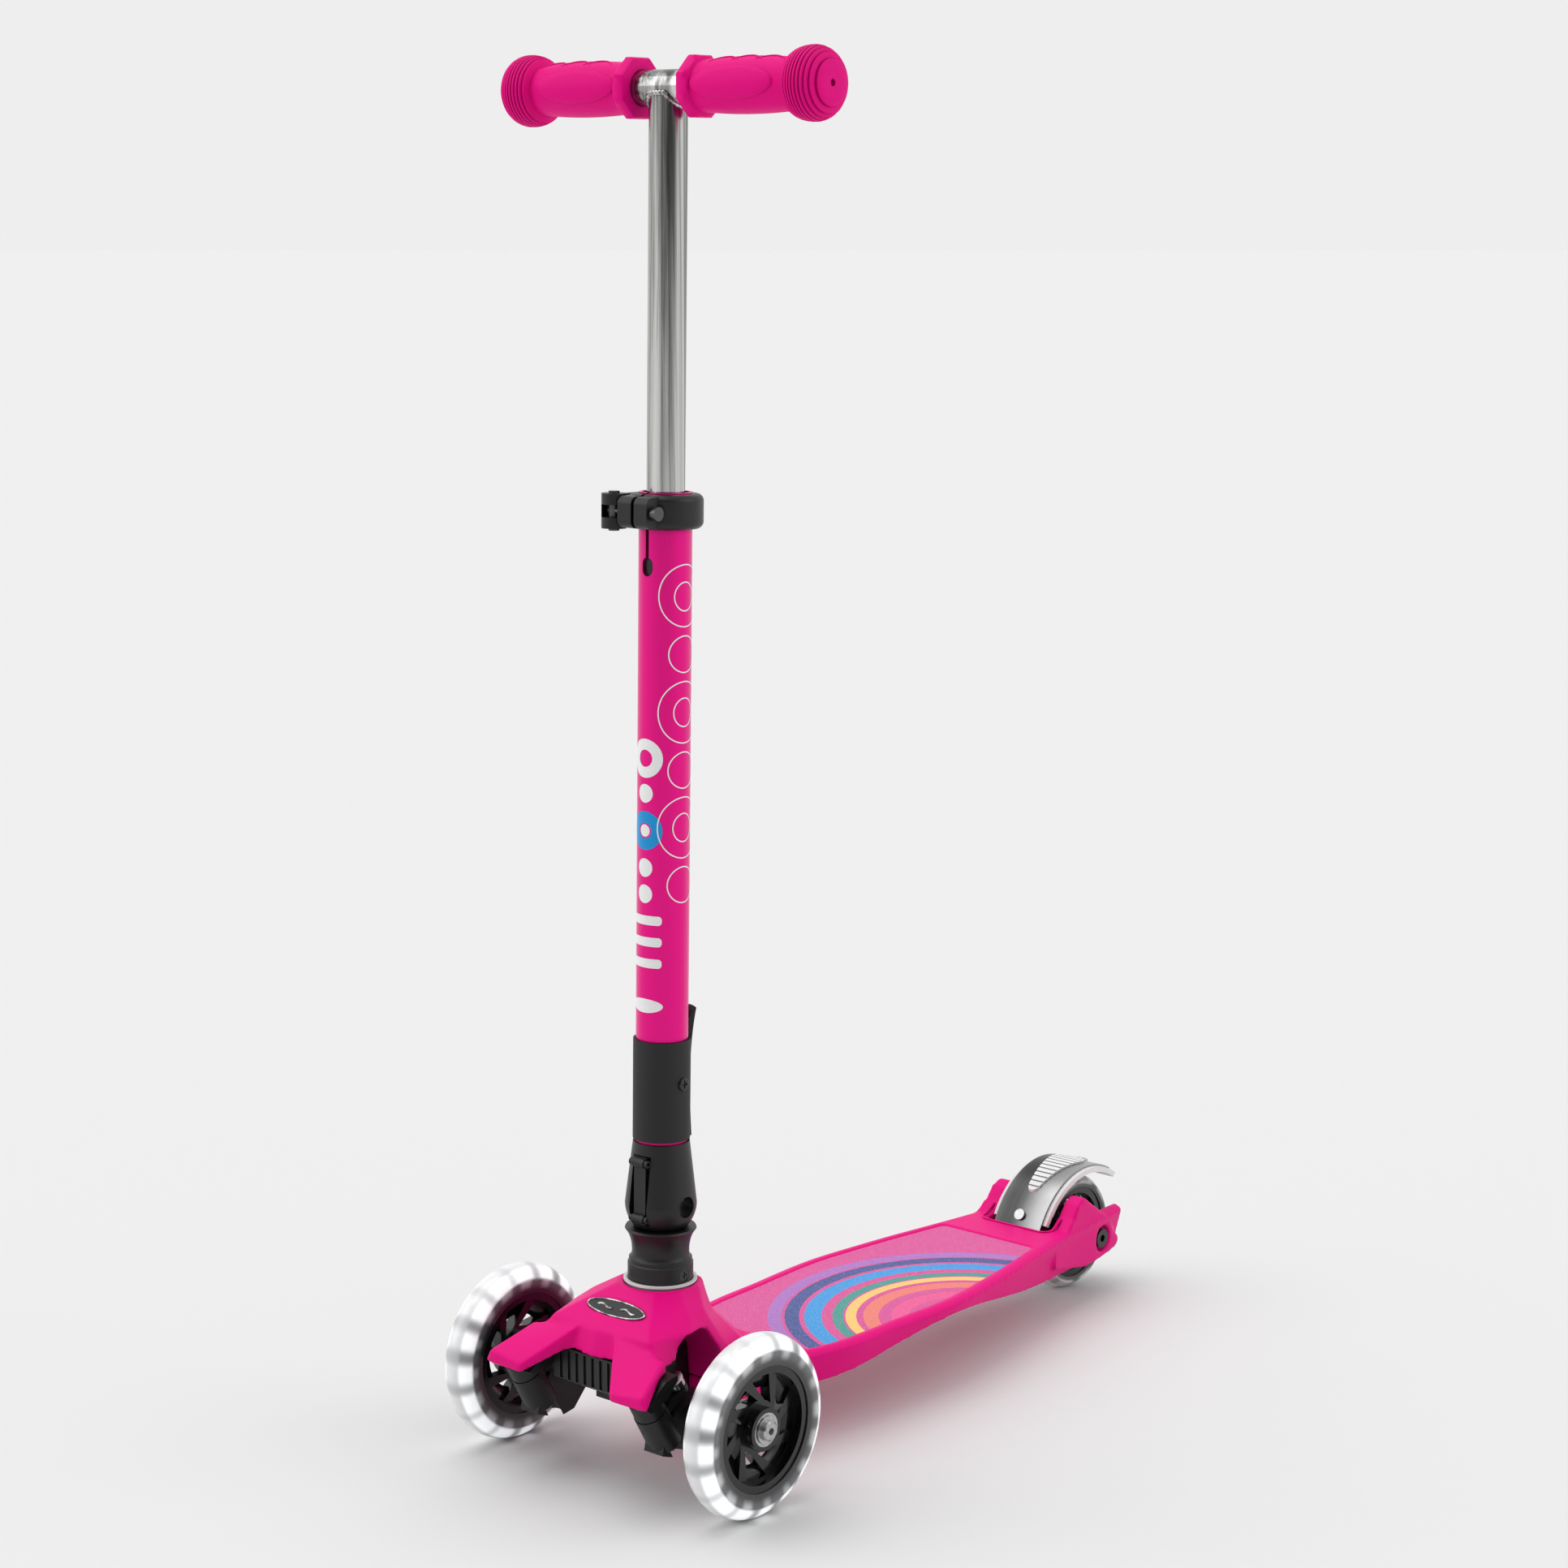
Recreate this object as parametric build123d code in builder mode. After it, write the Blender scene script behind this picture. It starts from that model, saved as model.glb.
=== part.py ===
"""Folding three-wheel kick scooter, built as separate pieces.

The frame has +Z up, -Y towards the front and X across. The origin lies on the ground, at the middle of
the scooter's box. Everything at the front is placed from the front axle, everything at the back from the
rear axle, and everything on the stem from the raked stem axis. All sizes are in millimetres.
"""
import os
from math import cos, radians, sin, sqrt

from build123d import *

# ---------------------------------------------------------------- driving dimensions
WHEELBASE = 487.5            # front axle to rear axle
TRACK = 211.2                # middle of one front wheel to the middle of the other
FRONT_WHEEL_D = 120.0
REAR_WHEEL_D = 89.0
WHEEL_WIDTH = 24.0
NOSE_REACH = 61.8            # tips of the hood arms ahead of the front axle
BAR_HEIGHT = 889.0           # crossbar centre above the ground, along the stem
BAR_WIDTH = 262.0            # over the grip ends
DECK_HALF_WIDTH = 69.7       # at the widest place
DECK_Z = 61.5                # widest edge of the deck above the ground
RAKE = 1.15                  # degrees that the stem leans back
STEM_SETBACK = 27.3          # foot of the stem axis behind the front axle

# front wheels and axles
HUB_R = 41.2
HUB_BOSS_R = 14.0
HUB_BOSS_HALF = 11.0
BEARING_R = 11.0
BEARING_WIDTH = 7.0
AXLE_R = 4.0
RUNNING = 0.05               # radial clearance of a shaft in its bore
GAP = 0.3                    # gap between pieces that move past each other
CORE_R = 48.0
CORE_HALF = 7.5
REAR_HUB_R = 35.0
SPOKES = 8

# steering
KINGPIN_X = 55.0
KINGPIN_AHEAD = 37.0         # kingpin reference point ahead of the front axle
KINGPIN_TILT = 30.0          # degrees, top towards the front
KINGPIN_R = 4.0
KNUCKLE_BOSS_R = 11.0
KNUCKLE_BOSS_LOW = -20.0     # span of the knuckle boss along the kingpin
KNUCKLE_BOSS_HIGH = 7.7
STEER_ARM = 26.0             # kingpin to tie-rod pin
TIE_PIN_R = 3.0
TIE_ROD_R = 3.0
SPRING_R = 4.3               # coil radius of the steering springs
SPRING_WIRE_R = 0.7
TIE_EYE_R = 7.0
TIE_EYE_THICK = 5.0

# stem stack, as heights along the stem axis
SOCKET_FOOT = 66.0
BAND_FOOT = 121.0
BAND_TOP = 139.0
COLLAR_TOP = 162.2
HINGE_S = 178.5
KNUCKLE_TOP = 220.0
SLEEVE_FOOT = 222.0
SLEEVE_TOP = 288.0
LOWER_TUBE_LENGTH = 420.5
UPPER_TUBE_INSERTION = 95.0
CLAMP_HEIGHT = 22.0
CLAMP_DROP = 1.0             # clamp top below the tube's top

SOCKET_R = 17.0
SOCKET_WALL = 4.0
BAND_R = 21.5
BALL_R = 23.5                # rounded lower end of the hinge knuckle
CUP_CLEARANCE = 0.6
LOWER_TUBE_R = 17.0
LOWER_TUBE_WALL = 2.0
UPPER_TUBE_R = 12.2
UPPER_TUBE_WALL = 1.6
SLEEVE_WALL = 1.4
CLAMP_R = 24.0
CROSSBAR_R = 11.0
TONGUE_HALF_X = 9.0
TONGUE_HALF_Y = 12.0
FOLD_PIN_R = 5.0
SLIT_WIDTH = 2.6
SLEEVE_TRAVEL = 10.0
PLUNGER_ROD_R = 4.0
SLEEVE_SCREW_S = 260.0

# deck and rear end
DECK_NOSE = 33.0             # deck's front face behind the front axle
DECK_TAIL = 27.5             # horn tips behind the rear axle
RIM_RISE = 2.5
MAT_MARGIN = 9.5
MAT_THICKNESS = 1.5
MAT_FROM, MAT_TO = 0.15, 0.79    # shares of the deck's length
MAT_CORNER = 5.0
MAT_TOP = DECK_Z + 1.3
SLOT_HALF = 27.0             # half width of the rear wheel's slot
SLOT_AHEAD = 63.5            # front wall of the slot ahead of the rear axle
SLOT_CORNER = 5.0
HORN_HOLE_R = 10.0
HORN_WEB = 5.0               # wall that carries the axle

# screws from the deck up into the hood
SCREW_R = 2.5
SCREW_HEAD_R = 4.5
SCREW_HEAD = 3.0
SCREW_LENGTH = 20.0
SCREW_SEAT_Z = DECK_Z - 13.5
SCREW_BEHIND = 68.0          # middle of the four, behind the front axle
SCREW_ACROSS = 60.0
SCREW_ALONG = 26.0

# brake: an arc about a point near the rear axle
BRAKE_R = 65.0
BRAKE_AHEAD = 2.5
BRAKE_DROP = 10.5            # arc centre below the rear axle
PLATE_THICKNESS = 1.5
LINING_THICKNESS = 4.0
PLATE_HALF = 20.7
LINING_HALF = 24.0
PLATE_FROM, PLATE_TO = 157.0, 60.0
LINING_FROM, LINING_TO = 150.0, 56.0
BRAKE_PIN_R = 3.0
BRAKE_PIN_AHEAD = 56.5
BRAKE_PIN_Z = 52.0

# ---------------------------------------------------------------- derived places
FRONT_R = FRONT_WHEEL_D / 2
REAR_R = REAR_WHEEL_D / 2
FRONT_Y = -(WHEELBASE + REAR_R - max(NOSE_REACH, FRONT_R)) / 2
REAR_Y = FRONT_Y + WHEELBASE
FRONT_AXLE = Vector(0, FRONT_Y, FRONT_R)
REAR_AXLE = Vector(0, REAR_Y, REAR_R)
TUBE_TOP = KNUCKLE_TOP + LOWER_TUBE_LENGTH
WHEEL_X = TRACK / 2
HUB_INNER_X = WHEEL_X - HUB_BOSS_HALF
SIDES = {"right": 1, "left": -1}

rake_sin, rake_cos = sin(radians(RAKE)), cos(radians(RAKE))
stem = Plane(origin=(0, FRONT_Y + STEM_SETBACK, 0), x_dir=(1, 0, 0), z_dir=(0, rake_sin, rake_cos))
# section through the stem axis: x is the radius, y the height along the stem
stem_section = Plane(origin=stem.origin, x_dir=(1, 0, 0), z_dir=(0, -rake_cos, rake_sin))
stem_axis = Axis(stem.origin, stem.z_dir)
hinge_point = stem.from_local_coords(Vector(0, 0, HINGE_S))
# side view at the fold hinge: x is rearwards, y is up the stem
hinge_side = Plane(origin=hinge_point, x_dir=(0, rake_cos, -rake_sin), z_dir=(1, 0, 0))

tilt_sin, tilt_cos = sin(radians(KINGPIN_TILT)), cos(radians(KINGPIN_TILT))


def kingpin_plane(side, t):
    """Plane square to a kingpin, t along it: x is across, y is rearwards and up."""
    foot = Vector(side * KINGPIN_X, FRONT_Y - KINGPIN_AHEAD, DECK_Z + 0.5)
    along = Vector(0, -tilt_sin, tilt_cos)
    return Plane(origin=foot + along * t, x_dir=(1, 0, 0), z_dir=along)


def wheel_section(centre, side=1):
    """Section plane of a wheel: x is the radius, y runs out along the axle."""
    return Plane(origin=centre, x_dir=(0, 1, 0), z_dir=(0, 0, -side))


def side_view(x=0.0):
    """Side view plane at x: sketch x is +Y, sketch y is +Z."""
    return Plane(origin=(x, 0, 0), x_dir=(0, 1, 0), z_dir=(1, 0, 0))


def front_points(points):
    """Side-view points given as (distance behind the front axle, height)."""
    return [(FRONT_Y + d, z) for d, z in points]


def finish(part, name):
    """Label a finished piece and write its file."""
    part.part.label = name
    export_step(part.part, f"parts/{name}.step")


os.makedirs("parts", exist_ok=True)

# ================================================================ deck
deck_front = FRONT_Y + DECK_NOSE
deck_back = REAR_Y + DECK_TAIL
deck_length = deck_back - deck_front

# (share of the deck's length, share of its greatest half width)
DECK_OUTLINE = [
    (0.0, 0.66), (0.11, 0.73), (0.18, 0.846), (0.243, 0.94), (0.33, 0.965), (0.43, 1.0), (0.492, 0.994),
    (0.554, 0.945), (0.616, 0.885), (0.678, 0.813), (0.741, 0.732), (0.803, 0.66), (0.865, 0.603),
    (0.927, 0.56), (1.0, 0.5),
]
# (share of the deck's length, height of the bottom edge)
DECK_BELLY = [
    (0.0, 46.0), (0.12, 40.0), (0.26, 41.5), (0.33, 46.0), (0.40, 51.0), (0.47, 53.5), (0.56, 49.0),
    (0.67, 39.0), (0.78, 31.5), (0.88, 29.5), (0.95, 31.5), (1.0, 38.0),
]


def deck_outline(inset, start=0.0, end=1.0):
    """Half outline of the deck, pulled in by inset, between two shares of its length."""
    points = [(DECK_HALF_WIDTH * w - inset, deck_front + deck_length * s) for s, w in DECK_OUTLINE
              if start <= s <= end]
    return points


# outline of the mat's recess, then of the mat a little inside it
mat_outlines = []
for inset in (0, GAP):
    with BuildSketch(Plane.XY.offset(MAT_TOP - MAT_THICKNESS)) as mat_outline:
        with BuildLine():
            edge = Spline(deck_outline(MAT_MARGIN + inset, MAT_FROM, MAT_TO))
            Polyline(edge @ 0, (0, (edge @ 0).Y), (0, (edge @ 1).Y), edge @ 1)
        make_face()
        mirror(about=Plane.YZ)
        fillet(vertices().group_by(Axis.Y)[-1], MAT_CORNER - inset)
        with Locations((0, (edge @ 0).Y), (0, (edge @ 1).Y)):
            Rectangle(3 * DECK_HALF_WIDTH, 2 * inset + 0.001, mode=Mode.SUBTRACT)
    mat_outlines.append(mat_outline.sketch)

with BuildPart() as horn_blank:
    # side view of a rear horn, as (distance behind the rear axle, height)
    horn_view = [(-75, 40), (-75, 60), (-56, 63), (-45, 72), (-38, 81), (-30, 85), (-18, 77), (0, 65),
                 (20.5, 43.5), (DECK_TAIL, 38), (20, 32), (0, 30), (-25, 29)]
    with BuildSketch(side_view(SLOT_HALF)):
        with BuildLine():
            Polyline([(REAR_Y + d, z) for d, z in horn_view], close=True)
        make_face()
        fillet(vertices().group_by(Axis.Z)[-1], 4)
    extrude(amount=25)
    with BuildSketch(Plane.XY) as outline:
        with BuildLine():
            edge = Spline(deck_outline(1.5))
            Polyline(edge @ 0, (0, deck_front), (0, deck_back), edge @ 1)
        make_face()
    extrude(amount=120, mode=Mode.INTERSECT)
    mirror(about=Plane.YZ)

with BuildPart() as deck_board:
    for low_z, low_inset, high_z, high_inset in ((26, 9, DECK_Z, 0), (DECK_Z, 0, DECK_Z + RIM_RISE, 5)):
        for z, inset in ((low_z, low_inset), (high_z, high_inset)):
            with BuildSketch(Plane.XY.offset(z)):
                with BuildLine():
                    edge = Spline(deck_outline(inset))
                    Polyline(edge @ 0, (0, deck_front), (0, deck_back), edge @ 1)
                make_face()
                mirror(about=Plane.YZ)
        loft()
    # arched underside
    with BuildSketch(side_view()):
        with BuildLine():
            belly = Spline([(deck_front + deck_length * s, z) for s, z in DECK_BELLY])
            Polyline(belly @ 0, (deck_front - 1, DECK_BELLY[0][1]), (deck_front - 1, 0), (deck_back + 1, 0),
                     (deck_back + 1, DECK_BELLY[-1][1]), belly @ 1)
        make_face()
    extrude(amount=DECK_HALF_WIDTH + 10, both=True, mode=Mode.SUBTRACT)
    # stiffening spine under the middle
    spine_from, spine_to = deck_front + 0.24 * deck_length, deck_front + 0.76 * deck_length
    with BuildSketch(Plane.XY.offset(DECK_Z - 16)):
        with Locations((0, (spine_from + spine_to) / 2)):
            RectangleRounded(62, spine_to - spine_from, 12)
    extrude(amount=12)
    add(horn_blank.part)
    # pockets between the ribs, from below
    pocket_rows = 9
    with BuildSketch(Plane.XY.offset(DECK_Z - 5)):
        with Locations((0, (spine_from + spine_to) / 2)):
            with GridLocations(29, (spine_to - spine_from - 6) / pocket_rows, 2, pocket_rows):
                RectangleRounded(24, (spine_to - spine_from - 6) / pocket_rows - 5, 3)
    extrude(amount=-40, mode=Mode.SUBTRACT)
    # slot of the rear wheel
    slot_front = REAR_Y - SLOT_AHEAD
    with BuildSketch(Plane.XY):
        with Locations((0, slot_front + 100)):
            RectangleRounded(2 * SLOT_HALF, 200, SLOT_CORNER)
    extrude(amount=150, mode=Mode.SUBTRACT)
    # recess of the grip mat
    add(mat_outlines[0])
    extrude(amount=10, mode=Mode.SUBTRACT)
    # access holes and bores of the rear axle
    with BuildSketch(side_view(SLOT_HALF + HORN_WEB)):
        with Locations((REAR_AXLE.Y, REAR_AXLE.Z)):
            Circle(HORN_HOLE_R)
    extrude(amount=40, mode=Mode.SUBTRACT)
    with BuildSketch(side_view(-SLOT_HALF - HORN_WEB)):
        with Locations((REAR_AXLE.Y, REAR_AXLE.Z)):
            Circle(HORN_HOLE_R)
    extrude(amount=-40, mode=Mode.SUBTRACT)
    with BuildSketch(side_view()):
        with Locations((REAR_AXLE.Y, REAR_AXLE.Z)):
            Circle(AXLE_R)
    extrude(amount=60, both=True, mode=Mode.SUBTRACT)
    # seats and holes of the screws that hold the hood
    with BuildSketch(Plane.XY.offset(SCREW_SEAT_Z)):
        with Locations((0, FRONT_Y + SCREW_BEHIND)):
            with GridLocations(SCREW_ACROSS, SCREW_ALONG, 2, 2):
                Circle(SCREW_HEAD_R + GAP)
    extrude(amount=-40, mode=Mode.SUBTRACT)
    with BuildSketch(Plane.XY.offset(SCREW_SEAT_Z)) as screw_shanks:
        with Locations((0, FRONT_Y + SCREW_BEHIND)):
            with GridLocations(SCREW_ACROSS, SCREW_ALONG, 2, 2):
                Circle(SCREW_R)
    extrude(amount=40, mode=Mode.SUBTRACT)
    # bores of the brake pin
    with BuildSketch(side_view()):
        with Locations((REAR_Y - BRAKE_PIN_AHEAD, BRAKE_PIN_Z)):
            Circle(BRAKE_PIN_R)
    extrude(amount=SLOT_HALF + 6, both=True, mode=Mode.SUBTRACT)
finish(deck_board, "deck_board")

with BuildPart() as deck_mat:
    add(mat_outlines[1])
    extrude(amount=MAT_THICKNESS)
finish(deck_mat, "deck_mat")

# ================================================================ front hood and carrier
RIM_Z = DECK_Z + RIM_RISE
HOOD_TOP = DECK_Z + 64.0
HOOD_BORE_R = BAND_R + 1.1
# half sections of the hood's body from the deck up: (height, [(x, distance behind the front axle)])
HOOD_SECTIONS = [
    (RIM_Z, [(0, -37), (56, -30), (51, 20), (49, 50), (42, 85), (0, 112)]),
    (DECK_Z + 30, [(0, -37), (56, -30), (54, 8), (51, 36), (40, 58), (0, 82)]),
    (DECK_Z + 46, [(0, -31.5), (42, -28), (52, 2), (46, 28), (30, 47), (0, 64)]),
    (DECK_Z + 54.5, [(0, -15.5), (30, -12), (42, 10), (40, 27), (26, 47), (0, 61)]),
    (HOOD_TOP, [(0, 3), (17, 6.5), (26, 20), (26, 38), (17, 52), (0, 56)]),
]
# side view of the space under the hood: (distance behind the front axle, height above the deck edge)
ARCH = [(-62.5, 14.5), (-38, 29), (-13, 33), (-8, 39.5), (0, 45), (14, 45.5), (21, 43), (25, 35.5),
        (31, 24.5), (DECK_NOSE, 2.5)]


def arch_view(drop, low):
    """Side outline under the arch, lowered by drop and closed at height low above the ground."""
    points = [(d, DECK_Z + z - drop) for d, z in ARCH]
    return front_points(points + [(DECK_NOSE, low), (-62.5, low)])


with BuildPart() as front_hood:
    for (low_z, low_points), (high_z, high_points) in zip(HOOD_SECTIONS, HOOD_SECTIONS[1:]):
        for z, points in ((low_z, low_points), (high_z, high_points)):
            ahead = [(x, FRONT_Y + d) for x, d in points]
            mirrored = [(-x, y) for x, y in reversed(ahead) if x > 0]
            with BuildSketch(Plane.XY.offset(z)):
                with BuildLine():
                    Polyline(ahead + mirrored, close=True)
                make_face()
        loft(ruled=True)
    # arms reach forward and down from the body to the kingpins
    for side in SIDES.values():
        root = [(13, DECK_Z + 26), (60, DECK_Z + 26), (58, DECK_Z + 38), (14, DECK_Z + 47)]
        tip = [(40, DECK_Z + 14.9), (71.7, DECK_Z + 15.8), (67.5, DECK_Z + 25), (39, DECK_Z + 21)]
        for d, points in ((-29, root), (-NOSE_REACH, tip)):
            with BuildSketch(Plane(origin=(0, FRONT_Y + d, 0), x_dir=(1, 0, 0), z_dir=(0, -1, 0))):
                with BuildLine():
                    Polyline([(side * x, z) for x, z in points], close=True)
                make_face()
        loft(ruled=True)
    with BuildSketch(side_view()):
        with BuildLine():
            Polyline(arch_view(0, 0), close=True)
        make_face()
    extrude(amount=100, both=True, mode=Mode.SUBTRACT)
    # notch between the arms
    with BuildSketch(Plane.XY.offset(DECK_Z)):
        with BuildLine():
            Polyline([(-12.6, FRONT_Y - 37.0), (12.6, FRONT_Y - 37.0), (40, FRONT_Y - NOSE_REACH - 1),
                      (-40, FRONT_Y - NOSE_REACH - 1)], close=True)
        make_face()
    extrude(amount=60, mode=Mode.SUBTRACT)
    # bore for the stem socket, wider at the top for the clamp band
    with BuildSketch(stem.offset(SOCKET_FOOT - 20)):
        Circle(SOCKET_R + RUNNING)
    extrude(amount=120, mode=Mode.SUBTRACT)
    with BuildSketch(stem.offset(BAND_FOOT - 0.5)):
        Circle(HOOD_BORE_R)
    extrude(amount=40, mode=Mode.SUBTRACT)
    # oval recess of the badge
    badge_plane = Plane(origin=(0, FRONT_Y - 13, DECK_Z + 55.6), x_dir=(1, 0, 0),
                        z_dir=(0, -sin(radians(27)), cos(radians(27))))
    with BuildSketch(badge_plane.offset(-2)):
        Ellipse(25, 7)
    extrude(amount=12, mode=Mode.SUBTRACT)
    # holes of the deck screws
    add(screw_shanks.sketch)
    extrude(amount=SCREW_LENGTH, mode=Mode.SUBTRACT)
finish(front_hood, "front_hood")

with BuildPart() as hood_trim:
    # a thin ring down the bore with a flange that clears the hood's level top
    with BuildSketch(stem_section):
        with BuildLine():
            inner, outer, flange = BAND_R + GAP, HOOD_BORE_R - 0.05, HOOD_TOP + 0.6
            Polyline([(inner, flange - 4), (outer, flange - 4), (outer, flange), (outer + 1.6, flange),
                      (outer + 1.6, flange + 1.4), (inner, flange + 1.4)], close=True)
        make_face()
    revolve(axis=stem_axis)
finish(hood_trim, "hood_trim")

with BuildPart() as hood_badge:
    with BuildSketch(badge_plane.offset(-2)):
        Ellipse(24.7, 6.7)
    extrude(amount=1.2)
    fillet(edges().group_by(Axis.Z)[-1], 0.4)
finish(hood_badge, "hood_badge")


with BuildPart() as deck_screws:
    with BuildSketch(Plane.XY.offset(SCREW_SEAT_Z)):
        with Locations((0, FRONT_Y + SCREW_BEHIND)):
            with GridLocations(SCREW_ACROSS, SCREW_ALONG, 2, 2):
                Circle(SCREW_HEAD_R)
    extrude(amount=-SCREW_HEAD)
    add(screw_shanks.sketch)
    extrude(amount=SCREW_LENGTH)
finish(deck_screws, "deck_screws")

# spring housing: a ribbed box under the notch of the hood
HOUSING_HALF = 35.0
HOUSING_FRONT, HOUSING_BACK = -35.0, -9.0        # distance behind the front axle
HOUSING_LOW, HOUSING_HIGH = DECK_Z + 3.5, DECK_Z + 28.0
HOUSING_WALL = 2.5
TIE_T = 8.3                                       # height of the tie rod along the kingpins
tie_centre = kingpin_plane(0, TIE_T).from_local_coords(Vector(0, STEER_ARM, 0))

with BuildPart() as spring_housing:
    with BuildSketch(side_view(-HOUSING_HALF)):
        with BuildLine():
            Polyline(front_points([(HOUSING_FRONT, HOUSING_LOW + 4), (HOUSING_FRONT, HOUSING_HIGH),
                                   (HOUSING_BACK, HOUSING_HIGH), (HOUSING_BACK, HOUSING_LOW + 6),
                                   (HOUSING_BACK - 8, HOUSING_LOW), (HOUSING_FRONT + 6, HOUSING_LOW)]),
                     close=True)
        make_face()
    extrude(amount=2 * HOUSING_HALF)
    fillet(edges().filter_by(Axis.X).group_by(Axis.Z)[0], 2)
    # grooves between the ribs of the front face
    with BuildSketch(Plane(origin=(0, FRONT_Y + HOUSING_FRONT, (HOUSING_LOW + HOUSING_HIGH) / 2 + 2),
                           x_dir=(1, 0, 0), z_dir=(0, -1, 0))):
        with GridLocations(7, 1, 9, 1):
            Rectangle(2.6, HOUSING_HIGH - HOUSING_LOW - 5)
    extrude(amount=-1.2, mode=Mode.SUBTRACT)
    # room for the springs and the tie rod
    with BuildSketch(side_view(-HOUSING_HALF + HOUSING_WALL)):
        with Locations((tie_centre.Y, tie_centre.Z)):
            Circle(SPRING_R + SPRING_WIRE_R + 0.7)
    extrude(amount=2 * (HOUSING_HALF - HOUSING_WALL), mode=Mode.SUBTRACT)
    with BuildSketch(side_view(-HOUSING_HALF)):
        with Locations((tie_centre.Y, tie_centre.Z)):
            Circle(TIE_ROD_R + GAP)
    extrude(amount=2 * HOUSING_HALF, mode=Mode.SUBTRACT)
finish(spring_housing, "spring_housing")

with BuildPart() as front_carrier:
    # block that holds the foot of the stem socket
    with BuildSketch(side_view(-22)):
        with BuildLine():
            low = DECK_Z - 11
            block = [(HOUSING_BACK, low), (HOUSING_BACK, DECK_Z + 34)]
            block += [(d, DECK_Z + z - 0.6) for d, z in ARCH[4:-1]]
            Polyline(front_points(block + [(DECK_NOSE, DECK_Z + 2.5), (DECK_NOSE, low)]), close=True)
        make_face()
    extrude(amount=44)
    # plate over the spring housing and the tie rod
    with BuildSketch(side_view(-HOUSING_HALF - 12)):
        with BuildLine():
            Polyline(front_points([(HOUSING_FRONT, HOUSING_HIGH), (HOUSING_FRONT, DECK_Z + 28.9),
                                   (-13, DECK_Z + 32.4), (HOUSING_BACK + 1, DECK_Z + 36),
                                   (HOUSING_BACK + 1, HOUSING_HIGH)]), close=True)
        make_face()
    extrude(amount=2 * HOUSING_HALF + 24)
    for side in SIDES.values():
        # arm out to the kingpin
        with BuildSketch(side_view(side * (HOUSING_HALF + GAP))):
            with BuildLine():
                Polyline(front_points([(-57, DECK_Z + 15.5), (-38, DECK_Z + 28.4), (-27, DECK_Z + 30.4),
                                       (-27, DECK_Z + 26.5), (-36, DECK_Z + 17), (-52, DECK_Z + 12)]),
                         close=True)
            make_face()
        extrude(amount=side * (KINGPIN_X + 11 - HOUSING_HALF))
        with BuildSketch(kingpin_plane(side, KNUCKLE_BOSS_HIGH + GAP)):
            Circle(KNUCKLE_BOSS_R - 0.5)
        extrude(amount=13)
        with BuildSketch(kingpin_plane(side, 0)):
            Circle(KINGPIN_R)
        extrude(amount=21, mode=Mode.SUBTRACT)
    with BuildSketch(stem.offset(SOCKET_FOOT)):
        Circle(SOCKET_R)
    extrude(amount=60, mode=Mode.SUBTRACT)
finish(front_carrier, "front_carrier")

with BuildPart() as kingpin_bolts:
    for side in SIDES.values():
        with BuildSketch(kingpin_plane(side, KNUCKLE_BOSS_LOW - GAP)):
            Circle(7)
        extrude(amount=-4)
        with BuildSketch(kingpin_plane(side, KNUCKLE_BOSS_LOW - GAP)):
            Circle(KINGPIN_R)
        extrude(amount=21 - KNUCKLE_BOSS_LOW + GAP)
        with BuildSketch(kingpin_plane(side, KNUCKLE_BOSS_LOW - GAP - 4)):
            RegularPolygon(2.6, 6)
        extrude(amount=2.5, mode=Mode.SUBTRACT)
finish(kingpin_bolts, "kingpin_bolts")

# ================================================================ steering knuckles, wheels and tie rod
KNUCKLE_HALF = 8.0
STUB_R = 10.0
STUB_END = WHEEL_X - HUB_BOSS_HALF - 1.6
BOLT_HEAD_R = 6.5
BOLT_HEAD = 3.0
WASHER_R = 9.0
WASHER = 0.9
OPENING_INNER = 23.0         # angles that one opening of a wheel takes at its inner and outer ends
OPENING_OUTER = 31.0


def hub(centre, rim_r, rim_half, swirl, name):
    """Spoked hub with swirled openings and seats for two bearings."""
    with BuildSketch() as opening:
        with BuildLine():
            hand = 1 if swirl > 0 else -1
            inner = CenterArc((0, 0), HUB_BOSS_R + 3.5, 0, hand * OPENING_INNER)
            outer = CenterArc((0, 0), rim_r - 6.5, swirl, hand * OPENING_OUTER)
            Line(inner @ 0, outer @ 0)
            Line(inner @ 1, outer @ 1)
        make_face()
    with BuildPart() as wheel_hub:
        with BuildSketch(wheel_section(centre)):
            with Locations((rim_r - 2.5, 0)):
                Rectangle(5, 2 * rim_half)
            with Locations((rim_r / 2 + 4, 0)):
                Rectangle(rim_r - 9, 8)
            with Locations(((HUB_BOSS_R + 6) / 2, 0)):
                Rectangle(HUB_BOSS_R - 6, 2 * HUB_BOSS_HALF)
        revolve(axis=Axis(centre, (1, 0, 0)))
        with BuildSketch(Plane(origin=centre, x_dir=(0, 1, 0), z_dir=(1, 0, 0))):
            with PolarLocations(0, SPOKES):
                add(opening.sketch)
        extrude(amount=6, both=True, mode=Mode.SUBTRACT)
        for face in (-1, 1):
            with BuildSketch(Plane(origin=centre + Vector(face * HUB_BOSS_HALF, 0, 0), z_dir=(face, 0, 0))):
                Circle(BEARING_R)
            extrude(amount=-BEARING_WIDTH, mode=Mode.SUBTRACT)
    finish(wheel_hub, name)


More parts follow.
